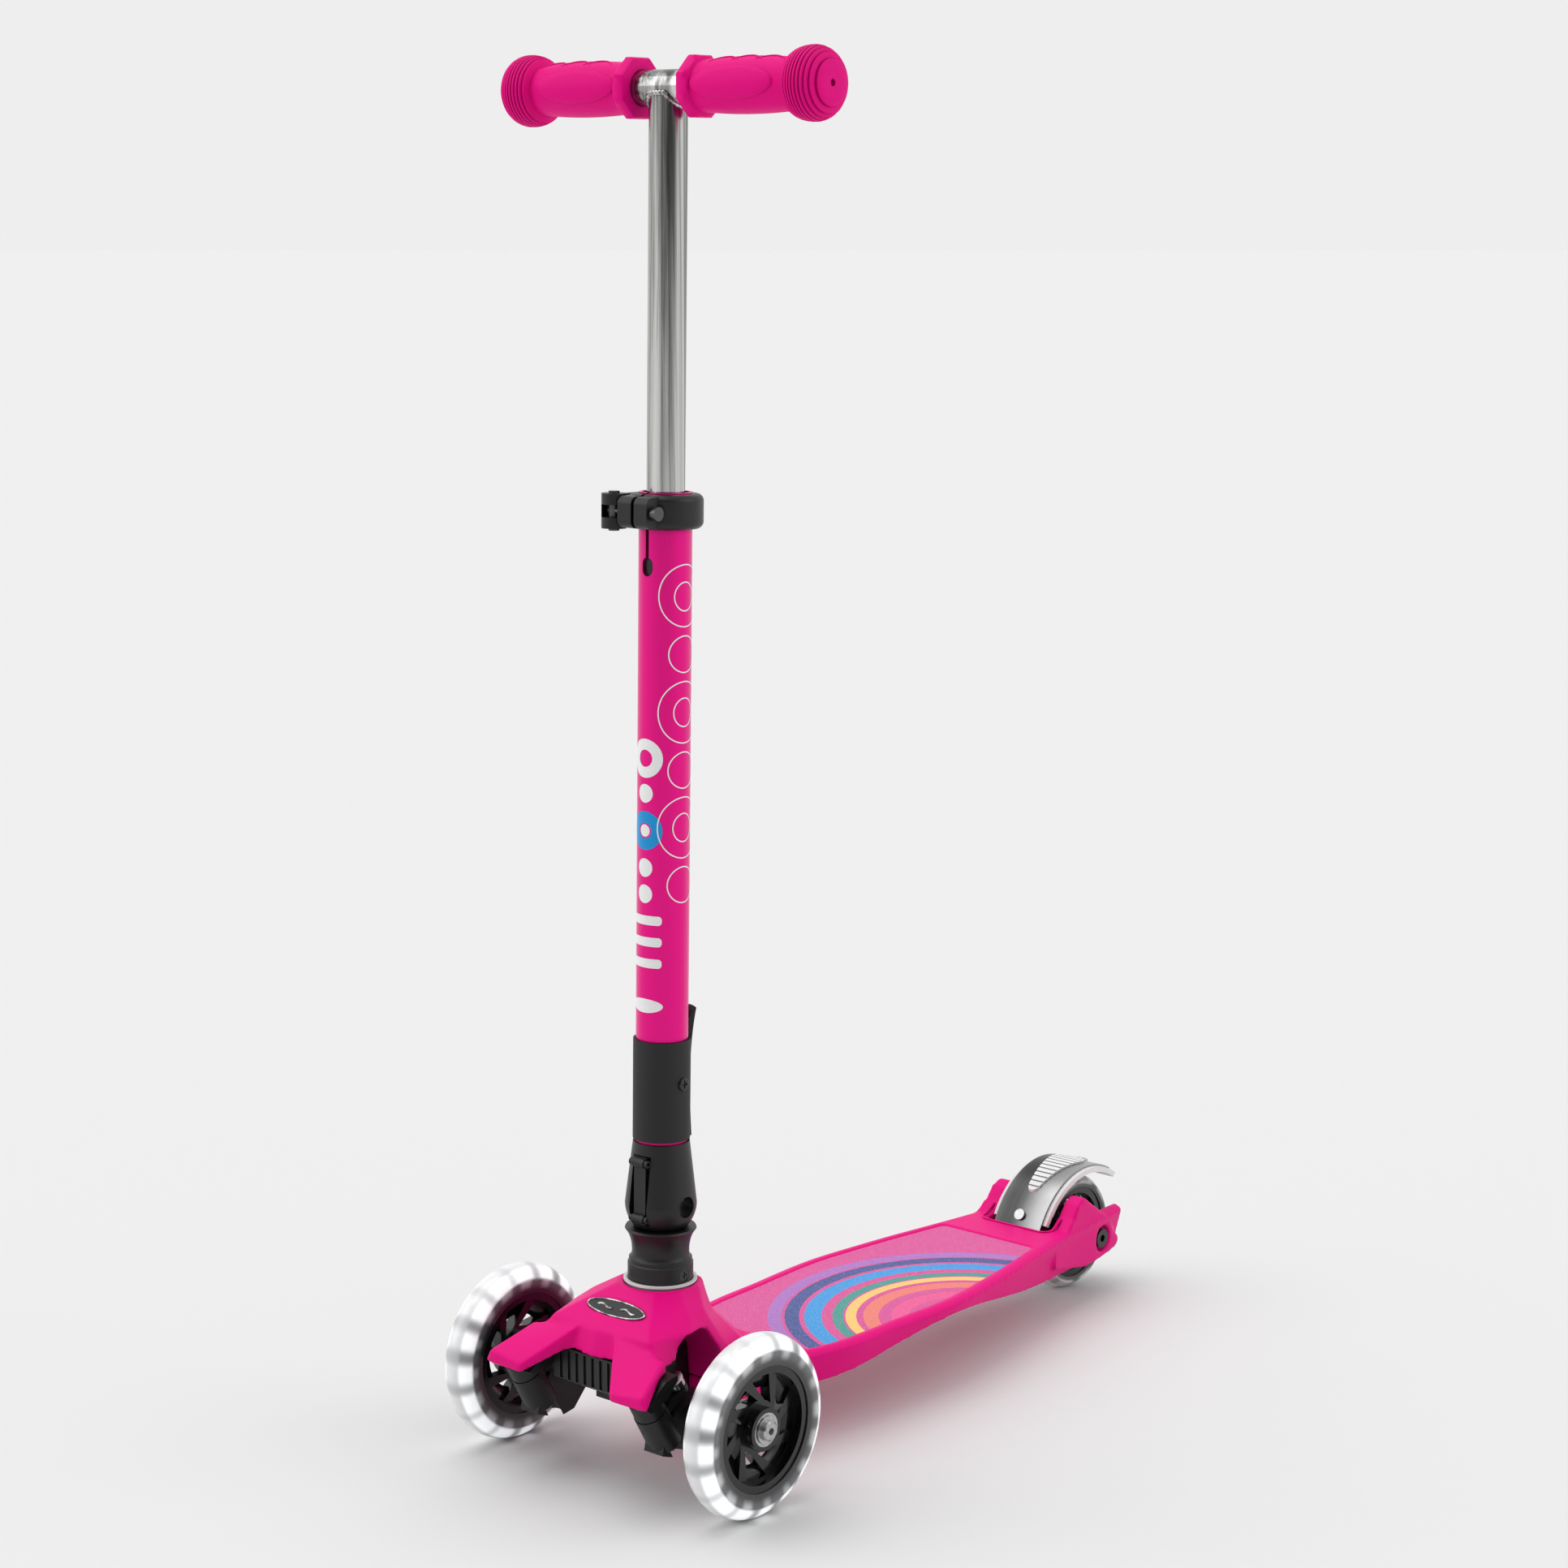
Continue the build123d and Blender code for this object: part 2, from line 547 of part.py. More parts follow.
def tyre(centre, inner_r, outer_r, core_r, name):
    """Tyre with a rounded tread and, where core_r is larger than inner_r, a groove for a light core."""
    shoulder = inner_r + 0.45 * (outer_r - inner_r)
    with BuildPart() as wheel_tyre:
        with BuildSketch(wheel_section(centre)):
            with BuildLine():
                Polyline((shoulder, -WHEEL_WIDTH / 2), (inner_r, -WHEEL_WIDTH / 2 + 1), (inner_r,
                         WHEEL_WIDTH / 2 - 1), (shoulder, WHEEL_WIDTH / 2))
                ThreePointArc((shoulder, WHEEL_WIDTH / 2), (outer_r, 0), (shoulder, -WHEEL_WIDTH / 2))
            make_face()
            if core_r > inner_r:
                with Locations(((inner_r + core_r) / 2, 0)):
                    Rectangle(core_r - inner_r, 2 * CORE_HALF, mode=Mode.SUBTRACT)
        revolve(axis=Axis(centre, (1, 0, 0)))
    finish(wheel_tyre, name)


def bearings(centre, name):
    """Two ball bearings seated in the ends of a hub."""
    with BuildPart() as pair:
        for face in (-1, 1):
            with BuildSketch(Plane(origin=centre + Vector(face * HUB_BOSS_HALF, 0, 0), z_dir=(face, 0, 0))):
                Circle(BEARING_R)
                Circle(AXLE_R + RUNNING, mode=Mode.SUBTRACT)
            extrude(amount=-BEARING_WIDTH)
    finish(pair, name)


for side_name, side in SIDES.items():
    centre = Vector(side * WHEEL_X, FRONT_Y, FRONT_R)
    outward = Plane(origin=centre, x_dir=(0, side, 0), z_dir=(side, 0, 0))
    hub(centre, HUB_R, 10.0, 27 * side, f"front_hub_{side_name}")
    tyre(centre, HUB_R, FRONT_R, CORE_R, f"front_tyre_{side_name}")
    bearings(centre, f"front_bearings_{side_name}")

    with BuildPart() as light_core:
        with BuildSketch(wheel_section(centre)):
            with Locations(((HUB_R + CORE_R) / 2, 0)):
                Rectangle(CORE_R - HUB_R, 2 * CORE_HALF)
        revolve(axis=Axis(centre, (1, 0, 0)))
    finish(light_core, f"light_core_{side_name}")

    with BuildPart() as knuckle:
        # web from the kingpin down and back to the axle
        with BuildSketch(side_view(side * (KINGPIN_X - KNUCKLE_HALF))):
            with BuildLine():
                Polyline(front_points([(-38, 40), (-30, 37), (-14, 33), (-4, 34.5), (9, 48), (10, FRONT_R + 8),
                                       (-2, FRONT_R + 10), (-26, DECK_Z + 4), (-34, DECK_Z - 4)]), close=True)
            make_face()
        extrude(amount=side * 2 * KNUCKLE_HALF)
        with BuildSketch(kingpin_plane(side, KNUCKLE_BOSS_LOW)):
            Circle(KNUCKLE_BOSS_R)
        extrude(amount=KNUCKLE_BOSS_HIGH - KNUCKLE_BOSS_LOW)
        # stub that carries the wheel bolt
        with BuildSketch(Plane(origin=(0, FRONT_Y, FRONT_R), x_dir=(0, 1, 0), z_dir=(side, 0, 0)).offset(
                KINGPIN_X)):
            Circle(STUB_R)
        extrude(amount=STUB_END - KINGPIN_X)
        with BuildSketch(outward.offset(STUB_END - WHEEL_X)):
            Circle(AXLE_R + 2)
        extrude(amount=HUB_INNER_X - GAP - STUB_END)
        # arm and pin of the tie rod
        with BuildSketch(kingpin_plane(side, 0)):
            with Locations((0, STEER_ARM / 2)):
                Rectangle(14, STEER_ARM)
            with Locations((0, STEER_ARM)):
                Circle(7)
        extrude(amount=TIE_T - TIE_ROD_R - GAP)
        with BuildSketch(kingpin_plane(side, 2)):
            with Locations((0, STEER_ARM)):
                Circle(TIE_PIN_R)
        extrude(amount=TIE_T + TIE_EYE_THICK / 2 - 2)
        # bores
        with BuildSketch(kingpin_plane(side, KNUCKLE_BOSS_LOW - 15)):
            Circle(KINGPIN_R + RUNNING)
        extrude(amount=80, mode=Mode.SUBTRACT)
        with BuildSketch(kingpin_plane(side, KNUCKLE_BOSS_LOW)):
            Circle(KNUCKLE_HALF + 1.5)
        extrude(amount=-20, mode=Mode.SUBTRACT)
        with BuildSketch(outward.offset(KINGPIN_X + 10 - WHEEL_X)):
            Circle(AXLE_R)
        extrude(amount=60, mode=Mode.SUBTRACT)
    finish(knuckle, f"steering_knuckle_{side_name}")

    with BuildPart() as wheel_bolt:
        with BuildSketch(outward.offset(KINGPIN_X + 10 - WHEEL_X)):
            Circle(AXLE_R)
        extrude(amount=WHEEL_X - KINGPIN_X - 10 + HUB_BOSS_HALF + GAP + WASHER)
        with BuildSketch(outward.offset(HUB_BOSS_HALF + GAP)):
            Circle(WASHER_R)
        extrude(amount=WASHER)
        with BuildSketch(outward.offset(HUB_BOSS_HALF + GAP + WASHER)):
            Circle(BOLT_HEAD_R)
        extrude(amount=BOLT_HEAD)
        chamfer(edges().filter_by(GeomType.CIRCLE).sort_by(Axis.X)[-1 if side > 0 else 0], 0.8)
        with BuildSketch(outward.offset(HUB_BOSS_HALF + GAP + WASHER + BOLT_HEAD)):
            RegularPolygon(2.6, 6)
        extrude(amount=-2.2, mode=Mode.SUBTRACT)
    finish(wheel_bolt, f"wheel_bolt_{side_name}")

with BuildPart() as tie_rod:
    with BuildSketch(side_view(-KINGPIN_X + TIE_EYE_R - 1)):
        with Locations((tie_centre.Y, tie_centre.Z)):
            Circle(TIE_ROD_R)
    extrude(amount=2 * (KINGPIN_X - TIE_EYE_R + 1))
    # collar between the two springs
    with BuildSketch(side_view(-2)):
        with Locations((tie_centre.Y, tie_centre.Z)):
            Circle(SPRING_R + SPRING_WIRE_R)
    extrude(amount=4)
    for side in SIDES.values():
        with BuildSketch(kingpin_plane(side, TIE_T - TIE_EYE_THICK / 2)):
            with Locations((0, STEER_ARM)):
                Circle(TIE_EYE_R)
                with Locations((0, -0.3)):
                    SlotOverall(2 * TIE_PIN_R + 1.6, 2 * TIE_PIN_R + 0.3, rotation=90, mode=Mode.SUBTRACT)
        extrude(amount=TIE_EYE_THICK)
finish(tie_rod, "tie_rod")

with BuildPart() as steering_springs:
    # each coil stops short of the housing's end wall by more than the rod's travel
    spring_start = 2 + SPRING_WIRE_R + GAP
    spring_length = HOUSING_HALF - HOUSING_WALL - 7 - spring_start
    for side in SIDES.values():
        start = Vector(side * spring_start, tie_centre.Y, tie_centre.Z)
        coil = Helix(spring_length / 6, spring_length, SPRING_R, center=start, direction=(side, 0, 0))
        with BuildSketch(Plane(origin=coil @ 0, z_dir=coil % 0)):
            Circle(SPRING_WIRE_R)
        sweep(path=coil, is_frenet=True)
finish(steering_springs, "steering_springs")

# ================================================================ stem socket and hinge cup
COLLAR_FOOT = 112.0
CUP_R = BALL_R + CUP_CLEARANCE
TONGUE_FOOT = 140.0
BAND_SCREW_R = 2.0
SCREW_CAP_R = 4.2
SCREW_CAP = 1.5
band_middle = BAND_TOP - 6.5


def stem_section_at(azimuth):
    """Section through the stem axis at an azimuth; 90 faces rearwards."""
    across = stem.x_dir.rotate(stem_axis, azimuth)
    return Plane(origin=stem.origin, x_dir=across, z_dir=across.cross(stem.z_dir))


def stem_facing(x, height):
    """Plane that faces +X at a height on the stem, x from its axis: x is rearwards, y is up the stem."""
    return Plane(origin=stem.from_local_coords(Vector(x, 0, height)), x_dir=stem.y_dir, z_dir=(1, 0, 0))


with BuildPart() as stem_socket:
    with BuildSketch(stem.offset(SOCKET_FOOT)):
        Circle(SOCKET_R)
        Circle(SOCKET_R - SOCKET_WALL, mode=Mode.SUBTRACT)
    extrude(amount=BAND_TOP - SOCKET_FOOT)
    with BuildSketch(stem_facing(0, band_middle)):
        Circle(BAND_SCREW_R)
    extrude(amount=SOCKET_R + 1, mode=Mode.SUBTRACT)
finish(stem_socket, "stem_socket")

with BuildPart() as socket_band:
    with BuildSketch(stem.offset(BAND_FOOT)):
        Circle(BAND_R)
        Circle(SOCKET_R, mode=Mode.SUBTRACT)
    extrude(amount=BAND_TOP - BAND_FOOT)
    chamfer(edges().filter_by(GeomType.CIRCLE).sort_by(SortBy.RADIUS)[-2:], 1)
    with BuildSketch(stem_facing(0, band_middle)):
        Circle(BAND_SCREW_R)
    extrude(amount=BAND_R + 1, mode=Mode.SUBTRACT)
    with BuildSketch(stem_facing(BAND_R - 2, band_middle)):
        Circle(SCREW_CAP_R)
    extrude(amount=5, mode=Mode.SUBTRACT)
finish(socket_band, "socket_band")

with BuildPart() as band_screw:
    with BuildSketch(stem_facing(SOCKET_R - SOCKET_WALL, band_middle)):
        Circle(BAND_SCREW_R)
    extrude(amount=BAND_R - 2 - SOCKET_R + SOCKET_WALL)
    with BuildSketch(stem_facing(BAND_R - 2, band_middle)):
        Circle(SCREW_CAP_R)
    extrude(amount=SCREW_CAP)
    with BuildSketch(stem_facing(BAND_R - 1.2, band_middle)):
        Rectangle(5, 1)
        Rectangle(1, 5)
    extrude(amount=2, mode=Mode.SUBTRACT)
finish(band_screw, "band_screw")

with BuildPart() as hinge_collar:
    with BuildSketch(stem_section):
        with BuildLine():
            lip = sqrt(CUP_R ** 2 - (HINGE_S - COLLAR_TOP) ** 2)
            Polyline((0, COLLAR_FOOT), (SOCKET_R - SOCKET_WALL, COLLAR_FOOT),
                     (SOCKET_R - SOCKET_WALL, BAND_TOP), (20.7, BAND_TOP), (20.7, BAND_TOP + 2.2))
            Spline((20.7, BAND_TOP + 2.2), (19.2, BAND_TOP + 4), (18.8, BAND_TOP + 8), (19.2, BAND_TOP + 12),
                   (20.7, BAND_TOP + 17.3), (BALL_R, COLLAR_TOP - 1.2))
            Polyline((BALL_R, COLLAR_TOP - 1.2), (BALL_R - 0.6, COLLAR_TOP), (lip, COLLAR_TOP))
            half = radians(45) + 0.5 * radians(45)
            ThreePointArc((lip, COLLAR_TOP), (CUP_R * cos(half), HINGE_S - CUP_R * sin(half)),
                          (0, HINGE_S - CUP_R))
            Line((0, HINGE_S - CUP_R), (0, COLLAR_FOOT))
        make_face()
    revolve(axis=stem_axis)
    with BuildSketch(stem.offset(TONGUE_FOOT)):
        Rectangle(2 * TONGUE_HALF_X, 2 * TONGUE_HALF_Y)
    extrude(amount=40, mode=Mode.SUBTRACT)
finish(hinge_collar, "hinge_collar")

with BuildPart() as hinge_tongue:
    with BuildSketch(hinge_side.offset(-TONGUE_HALF_X)):
        with Locations((0, (TONGUE_FOOT - HINGE_S) / 2)):
            Rectangle(2 * TONGUE_HALF_Y, HINGE_S - TONGUE_FOOT)
        Circle(TONGUE_HALF_Y)
        Circle(FOLD_PIN_R + RUNNING, mode=Mode.SUBTRACT)
    extrude(amount=2 * TONGUE_HALF_X)
finish(hinge_tongue, "hinge_tongue")

# ================================================================ hinge knuckle and its latch
SPIGOT_TOP = 250.0
FLAT_REAR = 15.7             # rear face of the knuckle behind the stem axis
PIN_HALF = 13.0
PIN_HEAD_R = 6.8
PIN_HEAD = 2.5
TONGUE_ROOM = 0.6            # clearance round the tongue in the knuckle
STRAP_FRONT, STRAP_BACK = 20.5, 17.5     # faces of the latch strap ahead of the stem axis
STRAP_HALF = 5.0
STRAP_LOW, STRAP_HIGH = HINGE_S - 7.5, HINGE_S + 30.0
STRAP_EYE_R = 3.8
LATCH_PIN_R = 2.4
LATCH_PIN_HALF = 7.5
strap_middle = -(STRAP_FRONT + STRAP_BACK) / 2

with BuildPart() as hinge_knuckle:
    with BuildSketch(stem_section):
        with BuildLine():
            corner = BALL_R * cos(radians(45))
            ThreePointArc((0, HINGE_S - BALL_R), (corner, HINGE_S - corner), (BALL_R, HINGE_S))
            Polyline((BALL_R, HINGE_S), (LOWER_TUBE_R + 1.5, KNUCKLE_TOP),
                     (LOWER_TUBE_R - LOWER_TUBE_WALL, KNUCKLE_TOP),
                     (LOWER_TUBE_R - LOWER_TUBE_WALL, SPIGOT_TOP), (0, SPIGOT_TOP), (0, HINGE_S - BALL_R))
        make_face()
    revolve(axis=stem_axis)
    # flat rear face that clears the cup when folded
    with BuildSketch(hinge_side):
        with Locations((FLAT_REAR + 10, (KNUCKLE_TOP - HINGE_S - 40) / 2)):
            Rectangle(20, KNUCKLE_TOP - HINGE_S + 40)
    extrude(amount=40, both=True, mode=Mode.SUBTRACT)
    # slot of the tongue, open below and behind
    with BuildSketch(hinge_side):
        room = TONGUE_HALF_Y + TONGUE_ROOM
        with Locations((20 - room / 2, -20)):
            Rectangle(40 + room, 40)
        with Locations((20, room / 2)):
            Rectangle(40, room)
        Circle(room)
    extrude(amount=TONGUE_HALF_X + GAP, both=True, mode=Mode.SUBTRACT)
    # hinge pin and its counterbores
    with BuildSketch(hinge_side):
        Circle(FOLD_PIN_R)
    extrude(amount=40, both=True, mode=Mode.SUBTRACT)
    for side in SIDES.values():
        with BuildSketch(hinge_side.offset(side * PIN_HALF)):
            Circle(PIN_HEAD_R + 0.2)
        extrude(amount=side * 20, mode=Mode.SUBTRACT)
    # bore of the plunger
    with BuildSketch(stem.offset(HINGE_S)):
        Circle(PLUNGER_ROD_R + RUNNING)
    extrude(amount=100, mode=Mode.SUBTRACT)
    # channel of the latch strap on the front
    with BuildSketch(hinge_side):
        with Locations((-STRAP_BACK - 10, (STRAP_LOW + STRAP_HIGH) / 2 - HINGE_S)):
            Rectangle(20, STRAP_HIGH - STRAP_LOW + 2 * STRAP_EYE_R + 1)
    extrude(amount=LATCH_PIN_HALF, both=True, mode=Mode.SUBTRACT)
finish(hinge_knuckle, "hinge_knuckle")

with BuildPart() as fold_pin:
    with BuildSketch(hinge_side.offset(-PIN_HALF)):
        Circle(FOLD_PIN_R)
    extrude(amount=2 * PIN_HALF)
    for side in SIDES.values():
        with BuildSketch(hinge_side.offset(side * PIN_HALF)):
            Circle(PIN_HEAD_R)
        extrude(amount=side * PIN_HEAD)
        with BuildSketch(hinge_side.offset(side * (PIN_HALF + PIN_HEAD))):
            RegularPolygon(3, 6)
        extrude(amount=-side * 2, mode=Mode.SUBTRACT)
finish(fold_pin, "fold_pin")

strap_ends = [(strap_middle, STRAP_LOW - HINGE_S), (strap_middle, STRAP_HIGH - HINGE_S)]
with BuildPart() as latch_strap:
    with BuildSketch(hinge_side.offset(-STRAP_HALF)):
        with Locations((strap_middle, (STRAP_LOW + STRAP_HIGH) / 2 - HINGE_S)):
            Rectangle(STRAP_FRONT - STRAP_BACK, STRAP_HIGH - STRAP_LOW)
        with Locations(*strap_ends):
            Rectangle(STRAP_FRONT - STRAP_BACK, 2 * STRAP_EYE_R)
        with Locations(*[(strap_middle - 1.6, z) for _, z in strap_ends]):
            Circle(STRAP_EYE_R - 0.7)
        with Locations(*[(strap_middle - 1.6, z) for _, z in strap_ends]):
            Circle(LATCH_PIN_R, mode=Mode.SUBTRACT)
    extrude(amount=2 * STRAP_HALF)
    with BuildSketch(hinge_side):
        with Locations((-STRAP_BACK + 5, (STRAP_LOW + STRAP_HIGH) / 2 - HINGE_S)):
            Rectangle(10, 60)
    extrude(amount=40, both=True, mode=Mode.SUBTRACT)
finish(latch_strap, "latch_strap")

with BuildPart() as latch_pins:
    with BuildSketch(hinge_side.offset(-LATCH_PIN_HALF)):
        with Locations(*[(strap_middle - 1.6, z) for _, z in strap_ends]):
            Circle(LATCH_PIN_R)
            Circle(1.1, mode=Mode.SUBTRACT)
    extrude(amount=2 * LATCH_PIN_HALF)
    with BuildSketch(hinge_side):
        with Locations((-STRAP_BACK + 5, (STRAP_LOW + STRAP_HIGH) / 2 - HINGE_S)):
            Rectangle(10, 60)
    extrude(amount=40, both=True, mode=Mode.SUBTRACT)
finish(latch_pins, "latch_pins")

# ================================================================ lower tube and clamp
KEYHOLE_S = 594.0
KEYHOLE_LONG, KEYHOLE_WIDE = 12.0, 8.5
STOP_FOOT, STOP_TOP = 300.0, 303.0       # web that the lock spring bears on
BUSHING_FOOT = 560.0
BUSHING_R = UPPER_TUBE_R + 0.1
SLEEVE_SCREW_R = 2.0
clamp_top = TUBE_TOP - CLAMP_DROP
clamp_foot = clamp_top - CLAMP_HEIGHT
clamp_middle = (clamp_top + clamp_foot) / 2
LUG_Y = -25.0                # bolt of the clamp ahead of the stem axis
LUG_RIGHT, LUG_LEFT = 12.0, 12.6
LEVER_PIN_X = -21.0
LEVER_PIN_R = 3.5
OPEN_ROOM = 6.0              # slot of the open lever beyond its pin, for the bolt
CLAMP_BOLT_R = 2.5
FORK_R = 8.0
FORK_HIGH = 7.0              # thickness of each disc of the lever's fork

with BuildPart() as lower_tube:
    with BuildSketch(stem.offset(KNUCKLE_TOP)):
        Circle(LOWER_TUBE_R)
        Circle(LOWER_TUBE_R - LOWER_TUBE_WALL, mode=Mode.SUBTRACT)
    extrude(amount=LOWER_TUBE_LENGTH)
    with BuildSketch(stem.offset(STOP_FOOT)):
        Circle(LOWER_TUBE_R - 0.5)
    extrude(amount=STOP_TOP - STOP_FOOT)
    # slit and keyhole on the front
    with BuildSketch(stem_section):
        with Locations((0, (KEYHOLE_S + TUBE_TOP) / 2)):
            Rectangle(SLIT_WIDTH, TUBE_TOP - KEYHOLE_S)
        with Locations((0, KEYHOLE_S)):
            SlotOverall(KEYHOLE_LONG, KEYHOLE_WIDE, rotation=90)
    extrude(amount=40, mode=Mode.SUBTRACT)
    # slot of the sleeve's screw
    with BuildSketch(stem_facing(0, SLEEVE_SCREW_S + SLEEVE_TRAVEL / 2)):
        SlotOverall(SLEEVE_TRAVEL + 2 * (SLEEVE_SCREW_R + GAP) + 1, 2 * (SLEEVE_SCREW_R + GAP), rotation=90)
    extrude(amount=40, mode=Mode.SUBTRACT)
finish(lower_tube, "lower_tube")

with BuildPart() as tube_bushing:
    with BuildSketch(stem.offset(BUSHING_FOOT)):
        Circle(LOWER_TUBE_R - LOWER_TUBE_WALL)
        Circle(BUSHING_R, mode=Mode.SUBTRACT)
    extrude(amount=clamp_top - BUSHING_FOOT)
finish(tube_bushing, "tube_bushing")

with BuildPart() as clamp_collar:
    with BuildSketch(stem_section):
        with Locations(((LOWER_TUBE_R + CLAMP_R) / 2, clamp_middle)):
            Rectangle(CLAMP_R - LOWER_TUBE_R, CLAMP_HEIGHT)
        fillet(vertices().group_by(Axis.X)[-1], 4.5)
    revolve(axis=stem_axis)
    # lugs of the bolt on either side of the slit
    with BuildSketch(stem.offset(clamp_foot + 1)):
        with Locations(((LUG_RIGHT - LUG_LEFT) / 2, LUG_Y + 1)):
            Rectangle(LUG_RIGHT + LUG_LEFT, 14)
    extrude(amount=CLAMP_HEIGHT - 2)
    fillet(edges().filter_by(Axis.X).sort_by(Axis.Y)[:2], 5)
    with BuildSketch(stem.offset(clamp_foot)):
        Circle(LOWER_TUBE_R)
        with Locations((0, -40)):
            Rectangle(SLIT_WIDTH, 80)
    extrude(amount=CLAMP_HEIGHT, mode=Mode.SUBTRACT)
    with BuildSketch(stem_facing(0, clamp_middle)):
        with Locations((LUG_Y, 0)):
            Circle(CLAMP_BOLT_R + RUNNING)
    extrude(amount=40, both=True, mode=Mode.SUBTRACT)
finish(clamp_collar, "clamp_collar")

with BuildPart() as clamp_bolt:
    with BuildSketch(stem_facing(LEVER_PIN_X - LEVER_PIN_R + 0.5, clamp_middle)):
        with Locations((LUG_Y, 0)):
            Circle(CLAMP_BOLT_R)
    extrude(amount=LUG_RIGHT + 0.05 - LEVER_PIN_X + LEVER_PIN_R - 0.5)
    with BuildSketch(stem_facing(LUG_RIGHT + 0.05, clamp_middle)):
        with Locations((LUG_Y, 0)):
            Circle(4.5)
    extrude(amount=5)
    with BuildSketch(stem_facing(LUG_RIGHT + 5, clamp_middle)):
        with Locations((LUG_Y, 0)):
            RegularPolygon(2.6, 6)
    extrude(amount=-3, mode=Mode.SUBTRACT)
finish(clamp_bolt, "clamp_bolt")

with BuildPart() as lever_pin:
    with BuildSketch(stem.offset(clamp_foot - 1.5)):
        with Locations((LEVER_PIN_X, LUG_Y)):
            Circle(LEVER_PIN_R)
    extrude(amount=CLAMP_HEIGHT + 3)
    with BuildSketch(stem_facing(LEVER_PIN_X - LEVER_PIN_R - 1, clamp_middle)):
        with Locations((LUG_Y, 0)):
            Circle(CLAMP_BOLT_R)
    extrude(amount=2 * LEVER_PIN_R + 2, mode=Mode.SUBTRACT)
finish(lever_pin, "lever_pin")

# outline of the lever from above, from the stem axis: its pin end first, then back along the left side
LEVER_OUTLINE = [(-28.9, -26), (-31.5, -14), (-32.2, 4), (-30.5, 24), (-28.5, 27.5), (-26.2, 24), (-26.6, 4),
                 (-26.0, -10), (-20.5, -18)]
with BuildPart() as clamp_lever:
    with BuildSketch(stem.offset(clamp_foot)):
        with Locations((LEVER_PIN_X, LUG_Y)):
            Circle(FORK_R)
    extrude(amount=CLAMP_HEIGHT)
    with BuildSketch(stem.offset(clamp_foot + 1.5)):
        with BuildLine():
            Spline(LEVER_OUTLINE)
            Line(LEVER_OUTLINE[-1], LEVER_OUTLINE[0])
        make_face()
    extrude(amount=CLAMP_HEIGHT - 3)
    # room for the bolt between the two discs
    with BuildSketch(stem.offset(clamp_foot + FORK_HIGH)):
        with Locations((LEVER_PIN_X, LUG_Y)):
            Circle(LEVER_PIN_R + 1.2)
        with Locations((LEVER_PIN_X + 10, LUG_Y)):
            Rectangle(20, 2 * FORK_R + 1)
        # room beside it when the lever is swung open
        with Locations((LEVER_PIN_X + 10 - OPEN_ROOM / 2, LUG_Y - FORK_R)):
            Rectangle(20 + OPEN_ROOM, 2 * FORK_R)
    extrude(amount=CLAMP_HEIGHT - 2 * FORK_HIGH, mode=Mode.SUBTRACT)
    with BuildSketch(stem.offset(clamp_foot)):
        with Locations((LEVER_PIN_X, LUG_Y)):
            Circle(LEVER_PIN_R + RUNNING)
        Circle(CLAMP_R + 1.2)
    extrude(amount=CLAMP_HEIGHT, mode=Mode.SUBTRACT)
finish(clamp_lever, "clamp_lever")

# ================================================================ sliding lock sleeve
SLEEVE_R = LOWER_TUBE_R + GAP + SLEEVE_WALL
SPINE_FROM, SPINE_ARC = 60, 60           # azimuths that the rear spine takes
SPINE_TOP = 306.0
PLUNGER_R = 14.5
PLUNGER_FOOT, PLUNGER_TOP = SLEEVE_SCREW_S - 7, SLEEVE_SCREW_S + 10
PLUNGER_TIP = HINGE_S + TONGUE_HALF_Y + 0.7
LOCK_SPRING_R = 11.0
LOCK_SPRING_WIRE_R = 1.0

with BuildPart() as lock_sleeve:
    with BuildSketch(stem.offset(SLEEVE_FOOT)):
        Circle(SLEEVE_R)
        Circle(LOWER_TUBE_R + GAP, mode=Mode.SUBTRACT)
    extrude(amount=SLEEVE_TOP - SLEEVE_FOOT)
    # rear spine with a rising finger lip
    with BuildSketch(stem_section_at(SPINE_FROM)):
        with BuildLine():
            back = Spline((20.6, SLEEVE_FOOT - 1), (19.9, SLEEVE_FOOT + 12), (19.4, SLEEVE_FOOT + 45),
                          (20.2, SLEEVE_TOP - 5), (23.2, SPINE_TOP))
            Polyline(back @ 1, (22.2, SPINE_TOP + 1), (LOWER_TUBE_R + GAP, SPINE_TOP - 8),
                     (LOWER_TUBE_R + GAP, SLEEVE_FOOT - 1), back @ 0)
        make_face()
    revolve(axis=stem_axis, revolution_arc=SPINE_ARC)
    with BuildSketch(stem_facing(0, SLEEVE_SCREW_S)):
        Circle(SLEEVE_SCREW_R)
    extrude(amount=40, mode=Mode.SUBTRACT)
    with BuildSketch(stem_facing(SLEEVE_R - 0.2, SLEEVE_SCREW_S)):
        Circle(SCREW_CAP_R)
    extrude(amount=10, mode=Mode.SUBTRACT)
finish(lock_sleeve, "lock_sleeve")

with BuildPart() as sleeve_screw:
    with BuildSketch(stem_facing(PLUNGER_R - 5, SLEEVE_SCREW_S)):
        Circle(SLEEVE_SCREW_R)
    extrude(amount=SLEEVE_R - 0.2 - PLUNGER_R + 5)
    with BuildSketch(stem_facing(SLEEVE_R - 0.2, SLEEVE_SCREW_S)):
        Circle(SCREW_CAP_R)
    extrude(amount=SCREW_CAP)
    fillet(edges().group_by(Axis.X)[-1], 0.8)
    with BuildSketch(stem_facing(SLEEVE_R - 0.2 + SCREW_CAP, SLEEVE_SCREW_S)):
        Rectangle(5, 1)
        Rectangle(1, 5)
    extrude(amount=-1, mode=Mode.SUBTRACT)
finish(sleeve_screw, "sleeve_screw")

